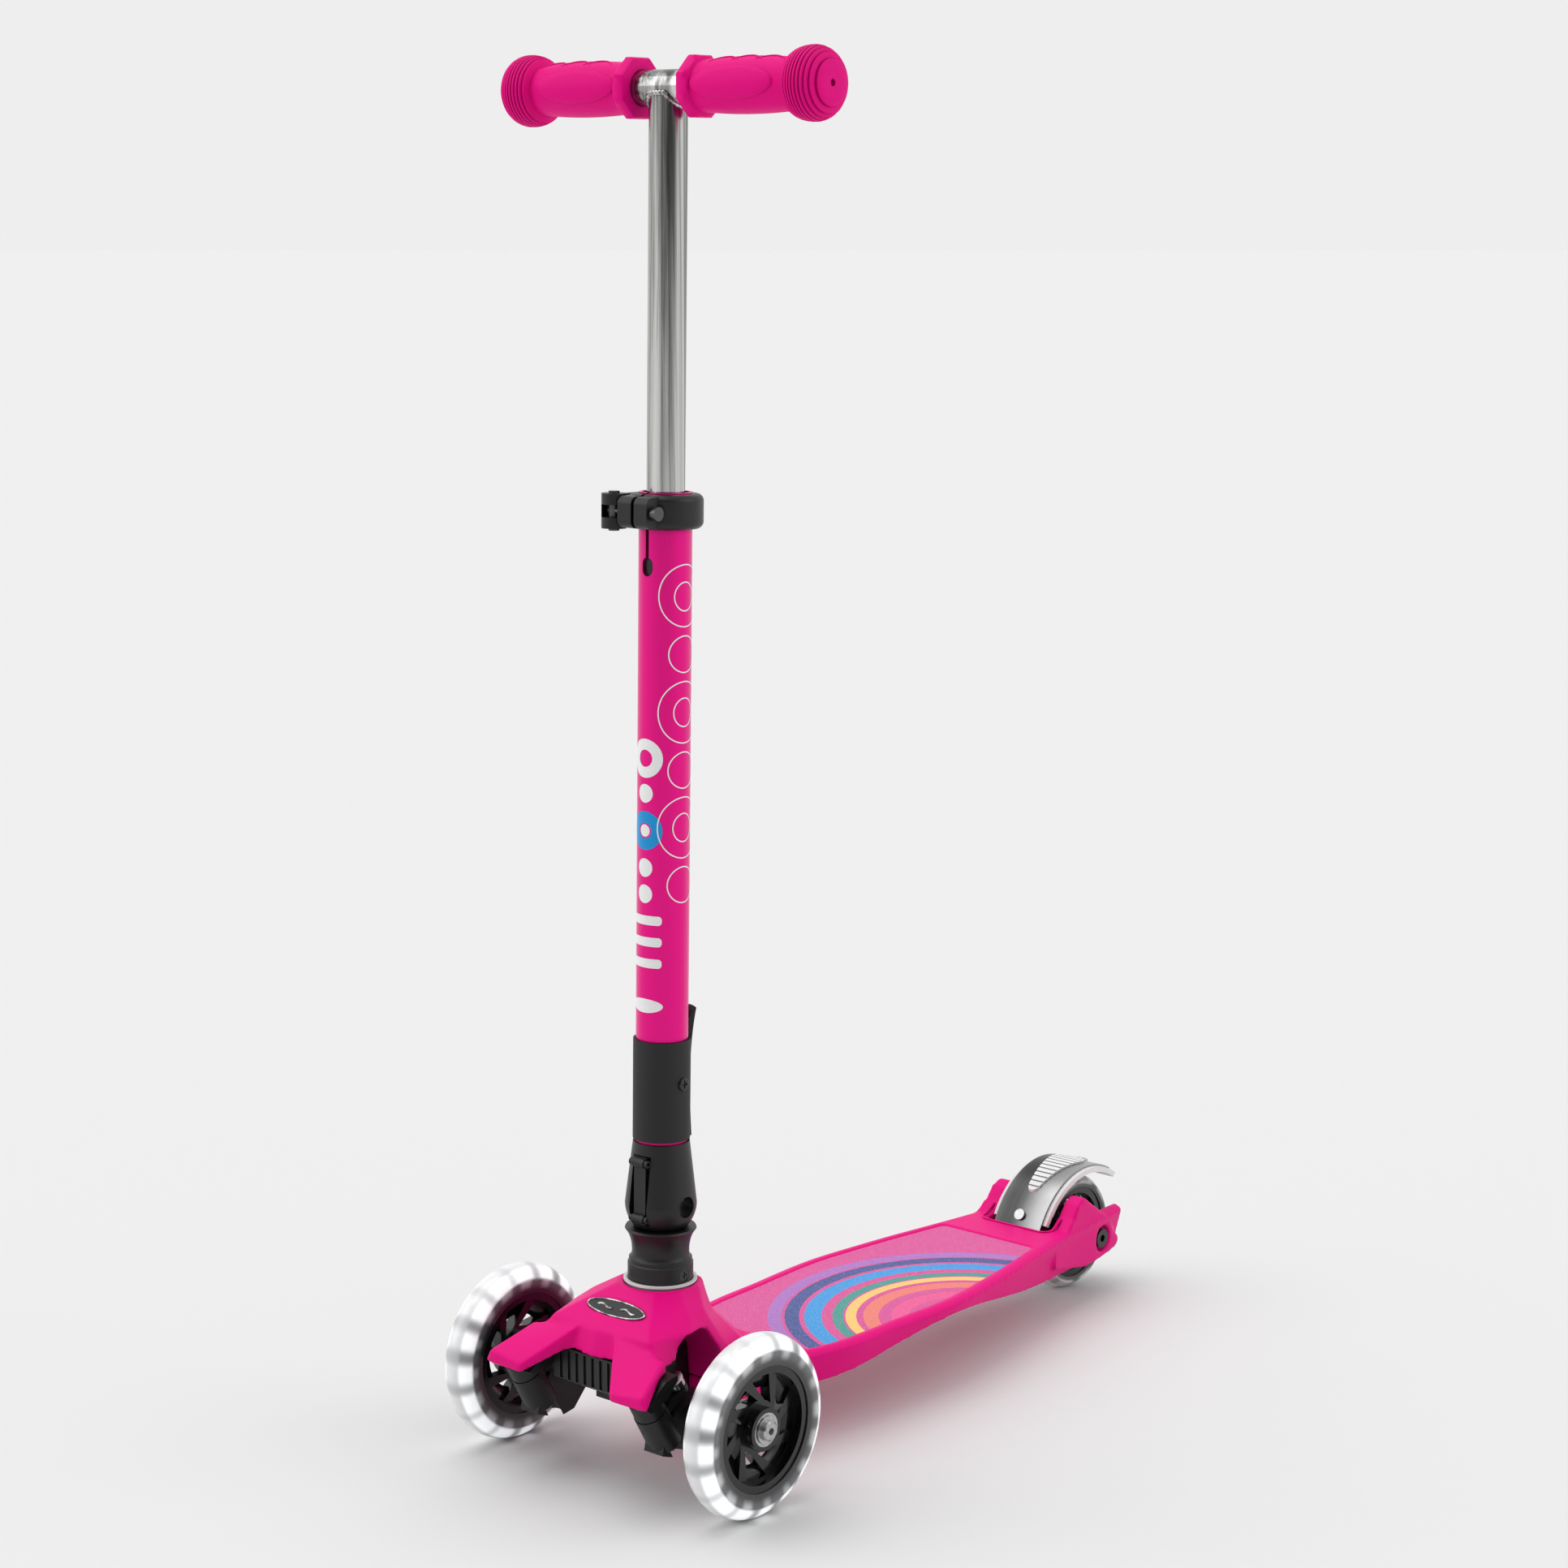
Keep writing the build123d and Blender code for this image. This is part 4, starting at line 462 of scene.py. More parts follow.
@dataclass(frozen=True)
class LitTyre:
    """A clear tyre with a lit white tread, a smoky band beside the hub and a grey outer edge."""

    name: str
    centre: tuple[float, float]
    band_r: float
    tyre_r: float
    lights: int = 16
    glow: float = 0.5
    smoke: tuple = (srgb(36, 37, 39), srgb(104, 106, 108), srgb(206, 208, 210))
    tread: tuple = (srgb(138, 140, 142), srgb(252, 252, 252))

    def build(self) -> bpy.types.Material:
        """Builds the tyre's finish.

        Returns:
            The material.
        """
        shader = Shader(self.name)
        shader.set(Roughness=0.14, Coat_Weight=0.5, Coat_Roughness=0.05, Specular_IOR_Level=0.5)
        place = shader.place()
        along = shader.math("SUBTRACT", place.outputs["Y"], self.centre[0])
        up = shader.math("SUBTRACT", place.outputs["Z"], self.centre[1])
        radius = shader.radius(along, up)
        angle = shader.math("ARCTAN2", up, along)
        spots = shader.math("COSINE", shader.math("MULTIPLY", angle, float(self.lights)))
        drift = shader.math("COSINE", shader.math("MULTIPLY_ADD", angle, 3.0, 0.8))
        wave = shader.math("MULTIPLY_ADD", spots, 0.34, shader.math("MULTIPLY_ADD", drift, 0.16, 0.52))
        spread = shader.step(wave, -0.05, 0.62)
        narrow = shader.math("MULTIPLY", shader.step(wave, 0.35, 0.92),
                             shader.step(radius, self.band_r - 0.0075, self.band_r - 0.0008))
        haze = shader.mix(shader.step(radius, self.band_r - 0.0085, self.band_r - 0.001), *self.smoke[:2])
        smoke = shader.mix(narrow, haze, self.smoke[2])
        white = shader.mix(spread, *self.tread)
        on_tread = shader.step(radius, self.band_r - 0.0010, self.band_r + 0.0012)
        edge = shader.step(radius, self.tyre_r - 0.0022, self.tyre_r - 0.0008)
        body = shader.mix(on_tread, smoke, white)
        crown = shader.mix(spread, srgb(186, 188, 190), srgb(240, 241, 242))
        shader.color(shader.mix(edge, body, crown))
        lit = shader.math("MULTIPLY", spread, on_tread)
        light = shader.mix(shader.math("MULTIPLY", lit, shader.math("SUBTRACT", 1.0, edge)),
                           srgb(0, 0, 0), srgb(235, 240, 245))
        shader.link(light, shader.main.inputs["Emission Color"])
        shader.set(Emission_Strength=self.glow)
        return shader.material


@dataclass(frozen=True)
class Polished:
    """The telescoping tube's finish: dark and bright bands down its length, broken by fine streaks."""

    name: str = "polished_tube"

    def build(self) -> bpy.types.Material:
        """Builds the finish.

        Returns:
            The material.
        """
        shader = Shader(self.name)
        shader.set(Metallic=1.0)
        broad = shader.group(Group.STREAKS, Along=0.6, Across=130.0).outputs["Mask"]
        fine = shader.group(Group.STREAKS, Along=3.0, Across=900.0).outputs["Mask"]
        both = shader.math("MULTIPLY_ADD", broad, 0.8, shader.math("MULTIPLY", fine, 0.25))
        shader.color(shader.mix(shader.step(both, 0.38, 0.68), srgb(92, 92, 91), srgb(212, 212, 210)))
        shader.rough(shader.math("MULTIPLY_ADD", fine, 0.16, 0.10))
        shader.bump(fine, 0.06, 0.0002)
        return shader.material


@dataclass(frozen=True)
class BrushedPlate:
    """The brake's steel plate, brushed along its length, with broad light and dark bands of painted
    reflection.
    """

    name: str = "brake_steel"
    half_width: float = 0.026

    def build(self) -> bpy.types.Material:
        """Builds the finish.

        Returns:
            The material.
        """
        shader = Shader(self.name)
        shader.set(Metallic=1.0)
        place = shader.place()
        stretched = shader.nodes.new("ShaderNodeCombineXYZ")
        for axis, scale in (("X", 1500.0), ("Y", 18.0), ("Z", 18.0)):
            shader.link(shader.math("MULTIPLY", place.outputs[axis], scale), stretched.inputs[axis])
        brushed = shader.nodes.new("ShaderNodeTexNoise")
        brushed.inputs["Scale"].default_value = 1.0
        brushed.inputs["Detail"].default_value = 3.0
        shader.link(stretched.outputs[0], brushed.inputs["Vector"])
        # Painted reflection: the plate is darkest in a band left of its middle and brightens away from it
        # across X.
        across = shader.math("DIVIDE", place.outputs["X"], self.half_width)
        dark = shader.math("ABSOLUTE", shader.math("ADD", across, 0.42))
        painted_reflection_bands = shader.step(dark, 0.10, 1.25)
        lines = shader.math("MULTIPLY_ADD", brushed.outputs["Fac"], 0.22, -0.11)
        reflection_and_brushing = shader.math("ADD", painted_reflection_bands, lines)
        shader.color(shader.mix(reflection_and_brushing, srgb(70, 70, 70), srgb(168, 168, 168)))
        shader.rough(shader.math("MULTIPLY_ADD", brushed.outputs["Fac"], 0.12, 0.22))
        shader.bump(brushed.outputs["Fac"], 0.05, 0.0002)
        return shader.material


class Looks:
    """Every finish of the scooter, built once."""

    def __init__(self) -> None:
        """Builds the shared groups, then each finish."""
        grain_group()
        streak_group()
        finishes = (
            Moulded("pink_moulding", srgb(232, 2, 128), roughness=0.42, specular=0.10, grain=1100, bump=0.10),
            Moulded("pink_tube", srgb(238, 4, 136), roughness=0.30, metallic=0.65, coat=0.12, grain=2200,
                    bump=0.12),
            Moulded("pink_grip", srgb(236, 4, 132), roughness=0.50, specular=0.08, grain=1400, bump=0.18),
            Moulded("black_plastic", srgb(21, 21, 22), roughness=0.40, specular=0.40, grain=1300, bump=0.16),
            Moulded("hub_black", srgb(15, 15, 16), roughness=0.22, coat=0.35, grain=700, bump=0.06),
            Moulded("sleeve_black", srgb(32, 32, 33), roughness=0.60, specular=0.35, grain=1800, bump=0.22),
            Moulded("dark_steel", srgb(92, 92, 94), roughness=0.25, metallic=0.9, bump=0.04),
            Moulded("white_plastic", srgb(230, 230, 230), roughness=0.40, grain=900, bump=0.08,
                    variation=0.97),
            Moulded("sticker_white", srgb(238, 238, 238), roughness=0.30, grain=900, bump=0.04,
                    variation=0.99),
            Moulded("sticker_blue", srgb(6, 146, 214), roughness=0.30, grain=900, bump=0.04, variation=0.98),
            Moulded("badge_dark", srgb(26, 25, 28), roughness=0.22, coat=0.5, bump=0.04),
            Metal("steel", srgb(140, 140, 140), srgb(210, 210, 210), roughness=0.18, spread=0.12, along=300,
                  across=300),
            BrushedPlate(),
            Polished(),
            RainbowMat(),
            LitTyre("lit_tyre", (FRONT_Y, FRONT_R), 0.0510, FRONT_R),
            LitTyre("rear_tyre", (REAR_Y, REAR_R), 0.0375, REAR_R, lights=10, glow=0.0,
                    smoke=(srgb(16, 16, 17), srgb(24, 24, 25), srgb(40, 40, 42)),
                    tread=(srgb(60, 61, 63), srgb(190, 192, 194))),
        )
        self.by_name = {finish.name: finish.build() for finish in finishes}

    def put(self, obj: bpy.types.Object, name: str) -> None:
        """Gives an object one finish.

        Args:
            obj: The object.
            name: The finish's name.
        """
        obj.data.materials.clear()
        obj.data.materials.append(self.by_name[name])


# ------------------------------------------------------------------ meshes
def mesh_object(name: str, points: Sequence[Vector], faces: Iterable[Sequence[int]],
                smooth: bool = True) -> bpy.types.Object:
    """Makes a mesh object with outward normals.

    Args:
        name: Name of the piece.
        points: Its vertices.
        faces: Its faces as vertex indices.
        smooth: Whether it is shaded smooth.

    Returns:
        The object.
    """
    mesh = bpy.data.meshes.new(name)
    mesh.from_pydata([tuple(p) for p in points], [], [tuple(f) for f in faces])
    made = bmesh.new()
    made.from_mesh(mesh)
    bmesh.ops.remove_doubles(made, verts=made.verts, dist=1e-6)
    bmesh.ops.recalc_face_normals(made, faces=made.faces)
    made.to_mesh(mesh)
    made.free()
    if smooth:
        mesh.shade_smooth()
    obj = bpy.data.objects.new(name, mesh)
    bpy.context.collection.objects.link(obj)
    LOG.info("made %s with %d faces", name, len(mesh.polygons))
    return obj


def lathe(name: str, profile: Sequence[tuple[float, float]], origin: Vector, axis: Vector, start: Vector,
          steps: int = 64,
          shape: Callable[[float, float], float] = lambda angle, along: 1.0) -> bpy.types.Object:
    """Turns a closed profile round an axis.

    Args:
        name: Name of the piece.
        profile: (radius, distance along the axis) points.
        origin: Point on the axis.
        axis: Direction of the axis.
        start: Direction of angle zero.
        steps: Number of steps round the axis.
        shape: Gives a factor on the radius for an angle and a distance along.

    Returns:
        The object.
    """
    side = axis.cross(start)
    points, faces = [], []
    for k in range(steps):
        angle = 2 * math.pi * k / steps
        out = start * math.cos(angle) + side * math.sin(angle)
        points += [origin + out * (r * shape(angle, h)) + axis * h for r, h in profile]
    n = len(profile)
    for k in range(steps):
        a, b = k * n, (k + 1) % steps * n
        faces += [(a + i, a + (i + 1) % n, b + (i + 1) % n, b + i) for i in range(n)]
    return mesh_object(name, points, faces)


def loop_tube(name: str, path: Sequence[Vector], radius: Callable[[int], float], sides: int = 10,
              closed: bool = True) -> bpy.types.Object:
    """Runs a round section along a path.

    Args:
        name: Name of the piece.
        path: Points of the path.
        radius: Gives the section's radius at each point.
        sides: Sides of the section.
        closed: Whether the path ends where it starts.

    Returns:
        The object.
    """
    points, faces, count = [], [], len(path)
    for i, point in enumerate(path):
        before = path[i - 1] if closed or i else path[0]
        after = path[(i + 1) % count] if closed or i < count - 1 else path[-1]
        along = (after - before).normalized()
        side = along.cross(Vector((0.31, 0.17, 0.93))).normalized()
        up = side.cross(along)
        for k in range(sides):
            a = 2 * math.pi * k / sides
            points.append(point + (side * math.cos(a) + up * math.sin(a)) * radius(i))
    for i in range(count if closed else count - 1):
        a, b = i * sides, (i + 1) % count * sides
        faces += [(a + k, a + (k + 1) % sides, b + (k + 1) % sides, b + k) for k in range(sides)]
    if not closed:
        faces += [tuple(range(sides)), tuple(range((count - 1) * sides, count * sides))]
    return mesh_object(name, points, faces)


def soften(obj: bpy.types.Object, width: float, segments: int = 3, angle: float = 28.0) -> None:
    """Rounds the hard edges of an object.

    Args:
        obj: The object.
        width: Width of the rounding.
        segments: Steps of the rounding.
        angle: Edges flatter than this, in degrees, stay as they are.
    """
    bevel = obj.modifiers.new("soften", "BEVEL")
    bevel.width = width
    bevel.segments = segments
    bevel.limit_method = "ANGLE"
    bevel.angle_limit = math.radians(angle)
    bevel.harden_normals = True
    bevel.use_clamp_overlap = True


# ------------------------------------------------------------------ sub-assemblies
@dataclass
class Dressing:
    """Finishes and softened edges of the CAD nodes."""

    looks: Looks
    nodes: dict
    finishes: dict = field(default_factory=lambda: {
        "pink_moulding": ("deck_board", "front_hood"),
        "pink_tube": ("lower_tube",),
        "rainbow_mat": ("deck_mat",),
        "white_plastic": ("hood_trim", "brake_lining", "brake_pad"),
        "badge_dark": ("hood_badge",),
        "dark_steel": ("clamp_bolt", "lever_pin"),
        "polished_tube": ("upper_tube", "crossbar", "bar_weld"),
        "brake_steel": ("brake_plate",),
        "sleeve_black": ("lock_sleeve",),
        "hub_black": ("front_hub_right", "front_hub_left", "rear_hub", "band_screw", "sleeve_screw",
                      "rear_axle"),
        "rear_tyre": ("rear_tyre",),
        "lit_tyre": ("front_tyre_right", "front_tyre_left", "light_core_right", "light_core_left"),
        "steel": ("deck_screws", "kingpin_bolts", "hinge_tongue", "stem_socket",
                  "brake_pin", "brake_spring", "fold_pin", "lock_spring",
                  "tie_rod", "steering_springs", "rear_bearings", "brake_rivets", "wheel_bolt_right",
                  "wheel_bolt_left", "front_bearings_right", "front_bearings_left"),
    })
    edges: dict = field(default_factory=lambda: {
        "hinge_knuckle": 0.0009, "hinge_collar": 0.0005,
        "socket_band": 0.0005, "clamp_collar": 0.0022, "clamp_lever": 0.0024, "lock_sleeve": 0.0004,
        "latch_strap": 0.0005, "front_hub_right": 0.0008, "front_hub_left": 0.0008, "rear_hub": 0.0008,
        "steering_knuckle_right": 0.0015, "steering_knuckle_left": 0.0015, "front_carrier": 0.0012,
        "spring_housing": 0.0005, "brake_block": 0.001, "brake_plate": 0.0003, "brake_lining": 0.0006,
        "brake_pad": 0.0002, "wheel_bolt_right": 0.0003, "wheel_bolt_left": 0.0003, "deck_mat": 0.0003,
        "lower_tube": 0.0003, "clamp_bolt": 0.0003, "hood_trim": 0.0003, "sleeve_screw": 0.0002,
    })

    def build(self) -> None:
        """Gives each CAD node its finish; whatever isn't named is black plastic."""
        named = {node: finish for finish, members in self.finishes.items() for node in members}
        for name, obj in self.nodes.items():
            self.looks.put(obj, named.get(name, "black_plastic"))
            if name in self.edges:
                soften(obj, self.edges[name])
        self.melt(self.nodes["front_hood"], 0.0009, 26)
        self.melt(self.nodes["deck_board"], 0.0013, 8)

    @staticmethod
    def melt(obj: bpy.types.Object, cell: float, rounds: int) -> None:
        """Gives a faceted moulding broad, soft edges.

        Args:
            obj: The moulding.
            cell: Size of its new faces.
            rounds: How many times they are evened out.
        """
        cells = obj.modifiers.new("cells", "REMESH")
        cells.mode = "VOXEL"
        cells.voxel_size = cell
        cells.use_smooth_shade = True
        smooth = obj.modifiers.new("melt", "SMOOTH")
        smooth.factor = 0.5
        smooth.iterations = rounds


@dataclass
class Grip:
    """A moulded grip with a faceted flange, an oval pad, three swooshes and a ridged knob."""

    looks: Looks
    side: int
    node: str
    flange: tuple[float, float] = (0.0215, 0.0315)
    end: float = 0.131
    ridges: int = 11

    def centre(self) -> Vector:
        """Gives the middle of the crossbar.

        Returns:
            The point in the row's frame.
        """
        return stem_point(0, 0, BAR_S)

    def body_radius(self, x: float) -> float:
        """Gives the radius of the grip's hand part.

        Args:
            x: Distance from the middle of the bar.

        Returns:
            The radius.
        """
        share = (x - self.flange[1]) / (0.104 - self.flange[1])
        return 0.0156 + 0.0017 * math.sin(math.pi * min(max(share, 0), 1)) ** 0.8

    def profile(self) -> list[tuple[float, float]]:
        """Lists the outline from the flange to the stepped knob and back through the bore.

        Returns:
            (radius, distance) points.
        """
        points = [(0.0113, 0.0215), (0.0160, 0.0215), (0.0186, 0.0222), (0.0195, 0.0240), (0.0195, 0.0285),
                  (0.0182, 0.0305), (0.0162, 0.0315)]
        points += [(self.body_radius(x / 1000), x / 1000) for x in range(34, 105, 5)]
        # knob of rising, then falling steps
        span = self.end - 0.1055
        for step in range(self.ridges):
            low, high = step / self.ridges, (step + 1) / self.ridges
            middle = (low + high) / 2
            bulge = math.sqrt(max(0.0, 1 - (2 * middle * 0.93 - 0.86) ** 2))
            radius = 0.0150 + 0.0076 * bulge if middle < 0.55 else 0.0080 + 0.0146 * bulge
            low_x, high_x = 0.1055 + span * low, 0.1055 + span * high
            points += [(radius - 0.0012, low_x + 0.0001), (radius, low_x + 0.0006), (radius, high_x - 0.0005),
                       (radius - 0.0012, high_x)]
        points += [(0.0075, self.end), (0.0022, self.end), (0.0020, self.end - 0.002),
                   (0.0002, self.end - 0.002), (0.0002, 0.1225), (0.0113, 0.1225)]
        return points

    def build(self) -> None:
        """Builds the grip and its raised details in place of the CAD grip."""
        axis = Vector((self.side, 0, 0))

        def facets(angle: float, along: float) -> float:
            """Flattens the flange into eight faces."""
            if not 0.0218 < along < 0.0300:
                return 1.0
            wedge = math.pi / 4
            return math.cos(wedge / 2) / math.cos((angle + wedge / 2) % wedge - wedge / 2) * 1.04

        grip = lathe(self.node.replace("grip", "moulded_grip"), self.profile(), self.centre(), axis,
                     Vector((0, -1, 0)), 96, facets)
        self.finish(grip, 30)
        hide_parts(self.node)
        pad = self.raised_oval()
        self.finish(pad, 60)
        for index in range(3):
            self.finish(self.swoosh(index), 60)

    def finish(self, obj: bpy.types.Object, angle: float) -> None:
        """Colours a piece, keeps its sharp edges and hangs it on the T-bar.

        Args:
            obj: The piece.
            angle: Edges sharper than this, in degrees, stay sharp.
        """
        self.looks.put(obj, "pink_grip")
        obj.data.set_sharp_from_angle(angle=math.radians(angle))
        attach(obj, "t_bar")

    def on_body(self, x: float, angle: float, lift: float) -> Vector:
        """Gives a point on the hand part.

        Args:
            x: Distance from the middle of the bar.
            angle: Angle from the front, upwards.
            lift: Height above the surface.

        Returns:
            The point in the row's frame.
        """
        radius = self.body_radius(x) + lift
        return self.centre() + Vector((self.side * x, -math.cos(angle) * radius, math.sin(angle) * radius))

    def raised_oval(self) -> bpy.types.Object:
        """Builds the long oval pad on the front.

        Returns:
            The piece.
        """
        rings, steps = 7, 56
        points, faces = [], []
        for ring in range(rings):
            lift = (-0.0004, 0.0009, 0.0012, 0.0011, 0.0010, 0.0010, 0.0010)[ring]
            size = (1.0, 0.985, 0.95, 0.7, 0.45, 0.2, 0.0)[ring]
            for k in range(steps):
                a = 2 * math.pi * k / steps
                x = 0.064 + 0.0335 * size * math.cos(a)
                points.append(self.on_body(x, 0.08 + 0.60 * size * math.sin(a), lift))
        for ring in range(rings - 1):
            a, b = ring * steps, (ring + 1) * steps
            faces += [(a + k, a + (k + 1) % steps, b + (k + 1) % steps, b + k) for k in range(steps)]
        name = "grip_pad_right" if self.side > 0 else "grip_pad_left"
        return mesh_object(name, points, faces)

    def swoosh(self, index: int) -> bpy.types.Object:
        """Builds one thin curved rib on top of the hand part.

        Args:
            index: Which of the three.

        Returns:
            The piece.
        """
        start = 0.040 + 0.019 * index
        path = []
        for k in range(15):
            t = k / 14
            angle = 1.05 + 0.45 * math.sin(math.pi * t) * (0.9 - 0.3 * t)
            path.append(self.on_body(start + 0.024 * t, angle, 0.0001))
        name = f"grip_rib_{'right' if self.side > 0 else 'left'}_{index}"
        return loop_tube(name, path, lambda i: 0.0007 * max(0.25, math.sin(math.pi * (i + 0.5) / 15)),
                         8, False)


@dataclass
class BarWeld:
    """Rippled weld bead where the tube meets the crossbar."""

    looks: Looks
    tube_r: float = 0.0122
    bar_r: float = 0.0110
    ripples: int = 34

    def build(self) -> None:
        """Builds the bead in place of the plain CAD weld."""
        path, count = [], 136
        for k in range(count):
            a = 2 * math.pi * k / count
            back = self.tube_r * math.sin(a)
            drop = math.sqrt(max(self.bar_r ** 2 - back ** 2, 0.0035 ** 2))
            path.append(stem_point(self.tube_r * math.cos(a) * 1.02, back * 1.0, BAR_S - drop - 0.0004))
        bead = loop_tube("weld_bead", path,
                         lambda i: 0.00175 + 0.00028 * math.cos(2 * math.pi * self.ripples * i / count), 12)
        self.looks.put(bead, "polished_tube")
        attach(bead, "t_bar")
        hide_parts("bar_weld")


@dataclass
class Stickers:
    """Plain shapes stuck on the lower tube, wrapped to its surface."""

    looks: Looks
    lift: float = 0.00008

    def wrap(self, name: str, outline: Sequence[tuple[float, float]], inner: Sequence[tuple[float, float]],
             azimuth: float, s: float, finish: str) -> None:
        """Lays a band between two outlines on the tube.

        Args:
            name: Name of the piece.
            outline: Outer outline, as (across, along) points.
            inner: Inner outline with as many points.
            azimuth: Middle of the shape round the stem, in degrees; -90 is the front.
            s: Middle of the shape along the stem.
            finish: Name of the finish.
        """
        layers, count = 5, len(outline)
        points, faces = [], []
        for layer in range(layers):
            share = layer / (layers - 1)
            for (ax, ay), (bx, by) in zip(outline, inner):
                across, along = ax + (bx - ax) * share, ay + (by - ay) * share
                angle = math.radians(azimuth) + across / TUBE_R
                radius = TUBE_R + self.lift
                points.append(stem_point(radius * math.cos(angle), radius * math.sin(angle), s + along))
        for layer in range(layers - 1):
            a, b = layer * count, (layer + 1) * count
            faces += [(a + k, a + (k + 1) % count, b + (k + 1) % count, b + k) for k in range(count)]
        sticker = mesh_object(name, points, faces)
        self.looks.put(sticker, finish)
        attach(sticker, "stem")

    @staticmethod
    def oval(half_across: float, half_along: float, count: int = 96) -> list[tuple[float, float]]:
        """Lists an oval outline.

        Args:
            half_across: Half size round the tube.
            half_along: Half size along the tube.
            count: Number of points.

        Returns:
            The outline's points.
        """
        turns = [2 * math.pi * k / count for k in range(count)]
        return [(half_across * math.cos(a), half_along * math.sin(a)) for a in turns]

    @staticmethod
    def slab(half_across: float, half_along: float, count: int = 96) -> list[tuple[float, float]]:
        """Lists the outline of a rounded bar.

        Args:
            half_across: Half size round the tube.
            half_along: Half size along the tube.
            count: Number of points.

        Returns:
            The outline's points.
        """
        corner = min(half_across, half_along) * 0.8
        centres = [(half_across - corner, half_along - corner), (corner - half_across, half_along - corner),
                   (corner - half_across, corner - half_along), (half_across - corner, corner - half_along)]
        points, turn, run = [], count // 12, count // 4 - count // 12
        for quarter, (x, y) in enumerate(centres):
            for k in range(turn):
                a = math.pi / 2 * (quarter + k / (turn - 1))
                points.append((x + corner * math.cos(a), y + corner * math.sin(a)))
            # straight run to the next corner, in steps short enough to follow the tube
            start, next_centre = points[-1], centres[(quarter + 1) % 4]
            a = math.pi / 2 * (quarter + 1)
            end = (next_centre[0] + corner * math.cos(a), next_centre[1] + corner * math.sin(a))
            for k in range(1, run + 1):
                points.append(tuple(p + (q - p) * k / (run + 1) for p, q in zip(start, end)))
        return points

    def build(self) -> None:
        """Builds the outlined shapes on the right and the solid shapes on the front."""
        line = 0.0008
        oval, slab = self.oval, self.slab
        # (middle along the stem, half across, half along, outline)
        outlines = ((0.5760, 0.0185, 0.0200, oval), (0.5755, 0.0085, 0.0095, oval),
                    (0.5390, 0.0120, 0.0120, oval), (0.5020, 0.0185, 0.0200, oval),
                    (0.5020, 0.0085, 0.0095, oval), (0.4650, 0.0120, 0.0120, oval),
                    (0.4280, 0.0185, 0.0200, oval), (0.4280, 0.0085, 0.0095, oval),
                    (0.3910, 0.0120, 0.0120, oval))
        for index, (s, across, along, shape) in enumerate(outlines):
            self.wrap(f"sticker_outline_{index}", shape(across, along), shape(across - line, along - line),
                      0, s, "sticker_white")
        empty = (0.00001, 0.00001)
        solids = ((0.4725, (0.0125, 0.0125), (0.0055, 0.0055), oval, "sticker_white"),
                  (0.4500, (0.0060, 0.0060), empty, oval, "sticker_white"),
                  (0.4260, (0.0125, 0.0125), (0.0050, 0.0050), oval, "sticker_blue"),
                  (0.4260, (0.0040, 0.0040), empty, oval, "sticker_white"),
                  (0.4020, (0.0060, 0.0060), empty, oval, "sticker_white"),
                  (0.3850, (0.0060, 0.0060), empty, oval, "sticker_white"),
                  (0.3680, (0.0125, 0.0030), empty, slab, "sticker_white"),
                  (0.3540, (0.0125, 0.0030), empty, slab, "sticker_white"),
                  (0.3400, (0.0125, 0.0030), empty, slab, "sticker_white"),
                  (0.3120, (0.0135, 0.0046), empty, oval, "sticker_white"))
        for index, (s, outer, inner, shape, finish) in enumerate(solids):
            self.wrap(f"sticker_solid_{index}", shape(*outer), shape(*inner), -92, s, finish)


@dataclass
class HoodDetails:
    """Chrome rim of the hood's oval badge and the raised line round the brake's notch."""

    looks: Looks
    deck: bpy.types.Object
    badge: Vector = field(default_factory=lambda: Vector((0, FRONT_Y - 0.013, DECK_TOP + 0.0556)))
    tilt: float = math.radians(27)
    notch_front: float = REAR_Y - 0.0635
    notch_half: float = 0.027

    def build(self) -> None:
        """Builds the rim, its two bars and the notch's line."""
        facing = Vector((0, -math.sin(self.tilt), math.cos(self.tilt)))
        along = facing.cross(Vector((1, 0, 0)))
        middle = self.badge - facing * 0.0007
        ring = [middle + Vector((0.0243 * math.cos(a), 0, 0)) + along * (0.0064 * math.sin(a))
                for a in (2 * math.pi * k / 90 for k in range(90))]
        self.finish(loop_tube("badge_rim", ring, lambda i: 0.00062), "polished_tube", "badge")
        for index, (start, end) in enumerate(((-0.016, -0.003), (0.004, 0.017))):
            bar = []
            for k in range(9):
                across = Vector((start + (end - start) * k / 8, 0, 0))
                bar.append(middle + across + along * (0.0012 * math.sin(k * 0.7)))
            rib = loop_tube(f"badge_bar_{index}", bar, lambda i: 0.0009, 10, False)
            self.finish(rib, "polished_tube", "badge")
        half, front, corner = self.notch_half + 0.0040, self.notch_front - 0.0040, 0.008
        path = [Vector((-half, front + 0.020, DECK_TOP))]
        for k in range(13):
            a = math.pi + math.pi / 2 * k / 12
            x, y = -half + corner + corner * math.cos(a), front + corner + corner * math.sin(a)
            path.append(Vector((x, y, DECK_TOP)))
        path += [Vector((-p.x, p.y, p.z)) for p in reversed(path)]
        down = Vector((0, 0, -1))
        path = [self.deck.ray_cast(p + Vector((0, 0, 0.1)), down)[1] + Vector((0, 0, 0.0003)) for p in path]
        line = loop_tube("notch_line", path, lambda i: 0.0008, 10, False)
        self.finish(line, "pink_moulding", "pink_moulding")

    def finish(self, obj: bpy.types.Object, look: str, slot: str) -> None:
        """Colours a piece and hangs it on the chassis.

        Args:
            obj: The piece.
            look: Name of its finish.
            slot: Not used.
        """
        self.looks.put(obj, look)
        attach(obj, "chassis")


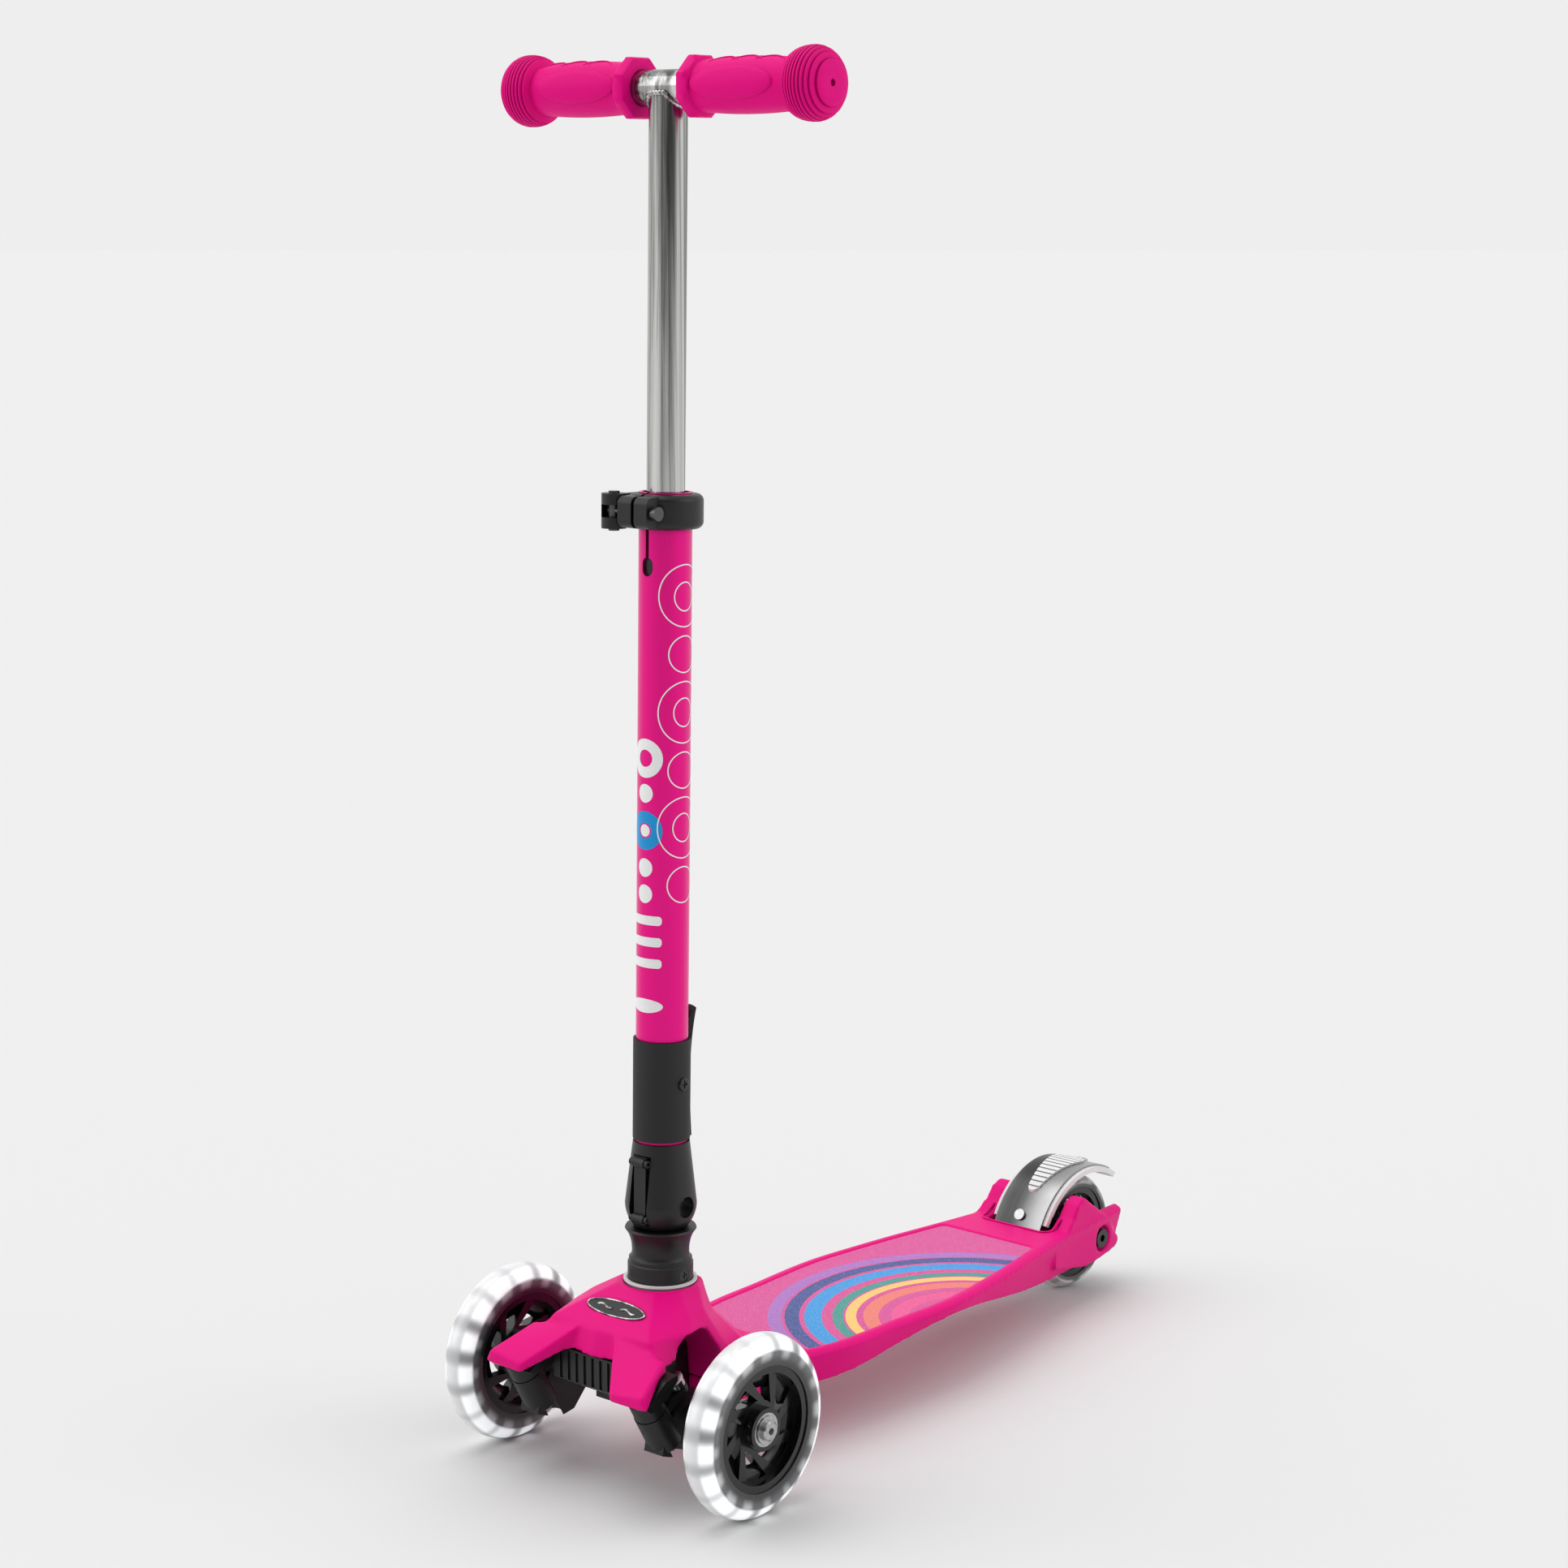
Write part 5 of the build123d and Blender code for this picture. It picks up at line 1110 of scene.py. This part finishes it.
@dataclass
class HubWebs:
    """Thin flat rings that close the outer half of each front hub behind its spokes."""

    looks: Looks
    inner: float = 0.0250
    outer: float = 0.0408

    def build(self) -> None:
        """Builds the web of each front hub."""
        for side, name in ((1, "right"), (-1, "left")):
            centre = Vector((side * WHEEL_X, FRONT_Y, FRONT_R))
            profile = [(self.outer, -0.0010), (self.outer, 0.0010), (0.0345, 0.0016), (self.inner, 0.0010),
                       (self.inner, -0.0010), (0.0345, -0.0016)]
            web = lathe(f"hub_web_{name}", profile, centre, Vector((side, 0, 0)), Vector((0, 1, 0)), 96)
            self.looks.put(web, "hub_black")
            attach(web, f"wheel_{name}")


@dataclass
class Studio:
    """Camera, pale floor and soft light."""

    looks: Looks
    wall: float = 0.855
    dark_wall: float = 0.16
    floor: float = 0.722

    def camera(self) -> None:
        """Places the camera."""
        data = bpy.data.cameras.new("camera")
        data.lens = 73.77
        data.sensor_width = 36.0
        data.clip_start = 0.05
        data.clip_end = 50.0
        right, up = Vector((0.7639, 0.6454, 0)), Vector((-0.1160, 0.1373, 0.9838))
        back = Vector((0.6349, -0.7514, 0.1797))
        camera = bpy.data.objects.new("camera", data)
        turn = Matrix((right, up, back)).transposed().to_4x4()
        camera.matrix_world = Matrix.Translation((1.3603, -1.6898, 0.8224)) @ turn
        bpy.context.collection.objects.link(camera)
        bpy.context.scene.camera = camera

    def sun(self, name: str, toward: tuple, spread: float, strength: float) -> None:
        """Adds a very soft distant light.

        Args:
            name: Name of the light.
            toward: Direction from the scooter to the light.
            spread: Its angular size in degrees.
            strength: Its strength.
        """
        data = bpy.data.lights.new(name, "SUN")
        data.energy = strength
        data.angle = math.radians(spread)
        light = bpy.data.objects.new(name, data)
        light.rotation_mode = "QUATERNION"
        light.rotation_quaternion = (-Vector(toward)).to_track_quat("-Z", "Y")
        bpy.context.collection.objects.link(light)

    def world(self) -> None:
        """Surrounds the scooter with pale walls and one darker side, which the shiny parts mirror."""
        world = bpy.data.worlds.new("studio")
        world.use_nodes = True
        nodes, links = world.node_tree.nodes, world.node_tree.links
        coords = nodes.new("ShaderNodeTexCoord")
        facing = nodes.new("ShaderNodeVectorMath")
        facing.operation = "DOT_PRODUCT"
        facing.inputs[1].default_value = (0.645, -0.764, 0.0)
        fade = nodes.new("ShaderNodeMapRange")
        fade.interpolation_type = "SMOOTHSTEP"
        fade.inputs["From Min"].default_value = 0.45
        fade.inputs["From Max"].default_value = 0.97
        fade.inputs["To Min"].default_value = self.wall
        fade.inputs["To Max"].default_value = self.dark_wall
        links.new(coords.outputs["Generated"], facing.inputs[0])
        links.new(facing.outputs["Value"], fade.inputs["Value"])
        links.new(fade.outputs["Result"], nodes["Background"].inputs["Color"])
        bpy.context.scene.world = world

    def build(self) -> None:
        """Builds the whole studio."""
        self.camera()
        self.world()
        corners = ((-60, -60), (60, -60), (60, 60), (-60, 60))
        floor = mesh_object("floor", [Vector((x, y, 0)) for x, y in corners], [(0, 1, 2, 3)], smooth=False)
        shader = Shader("floor")
        noise = shader.nodes.new("ShaderNodeTexNoise")
        noise.inputs["Scale"].default_value = 3.0
        shade = (self.floor, self.floor, self.floor, 1.0)
        pale = (self.floor * 1.004, self.floor * 1.004, self.floor * 1.004, 1.0)
        shader.color(shader.mix(noise.outputs["Fac"], shade, pale))
        shader.set(Roughness=1.0, Specular_IOR_Level=0.0)
        floor.data.materials.append(shader.material)
        bpy.context.scene.view_settings.view_transform = "Standard"
        self.sun("top", (-0.25, -0.1, 1.0), 45, 0.85)
        self.sun("left", (-0.75, -0.60, 0.55), 45, 0.55)
        self.sun("right", (0.80, 0.45, 0.45), 40, 0.45)


def main() -> None:
    """Dresses the CAD frame and builds the studio around it."""
    logging.basicConfig(level=logging.INFO, format="%(name)s: %(message)s")
    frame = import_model()
    nodes = frame["nodes"]
    looks = Looks()
    Dressing(looks, nodes).build()
    LOG.info("dressed %d nodes", len(nodes))
    Grip(looks, 1, "grip_right").build()
    Grip(looks, -1, "grip_left").build()
    BarWeld(looks).build()
    Stickers(looks).build()
    HoodDetails(looks, nodes["deck_board"]).build()
    HubWebs(looks).build()
    Studio(looks).build()


if __name__ == "__main__":
    main()
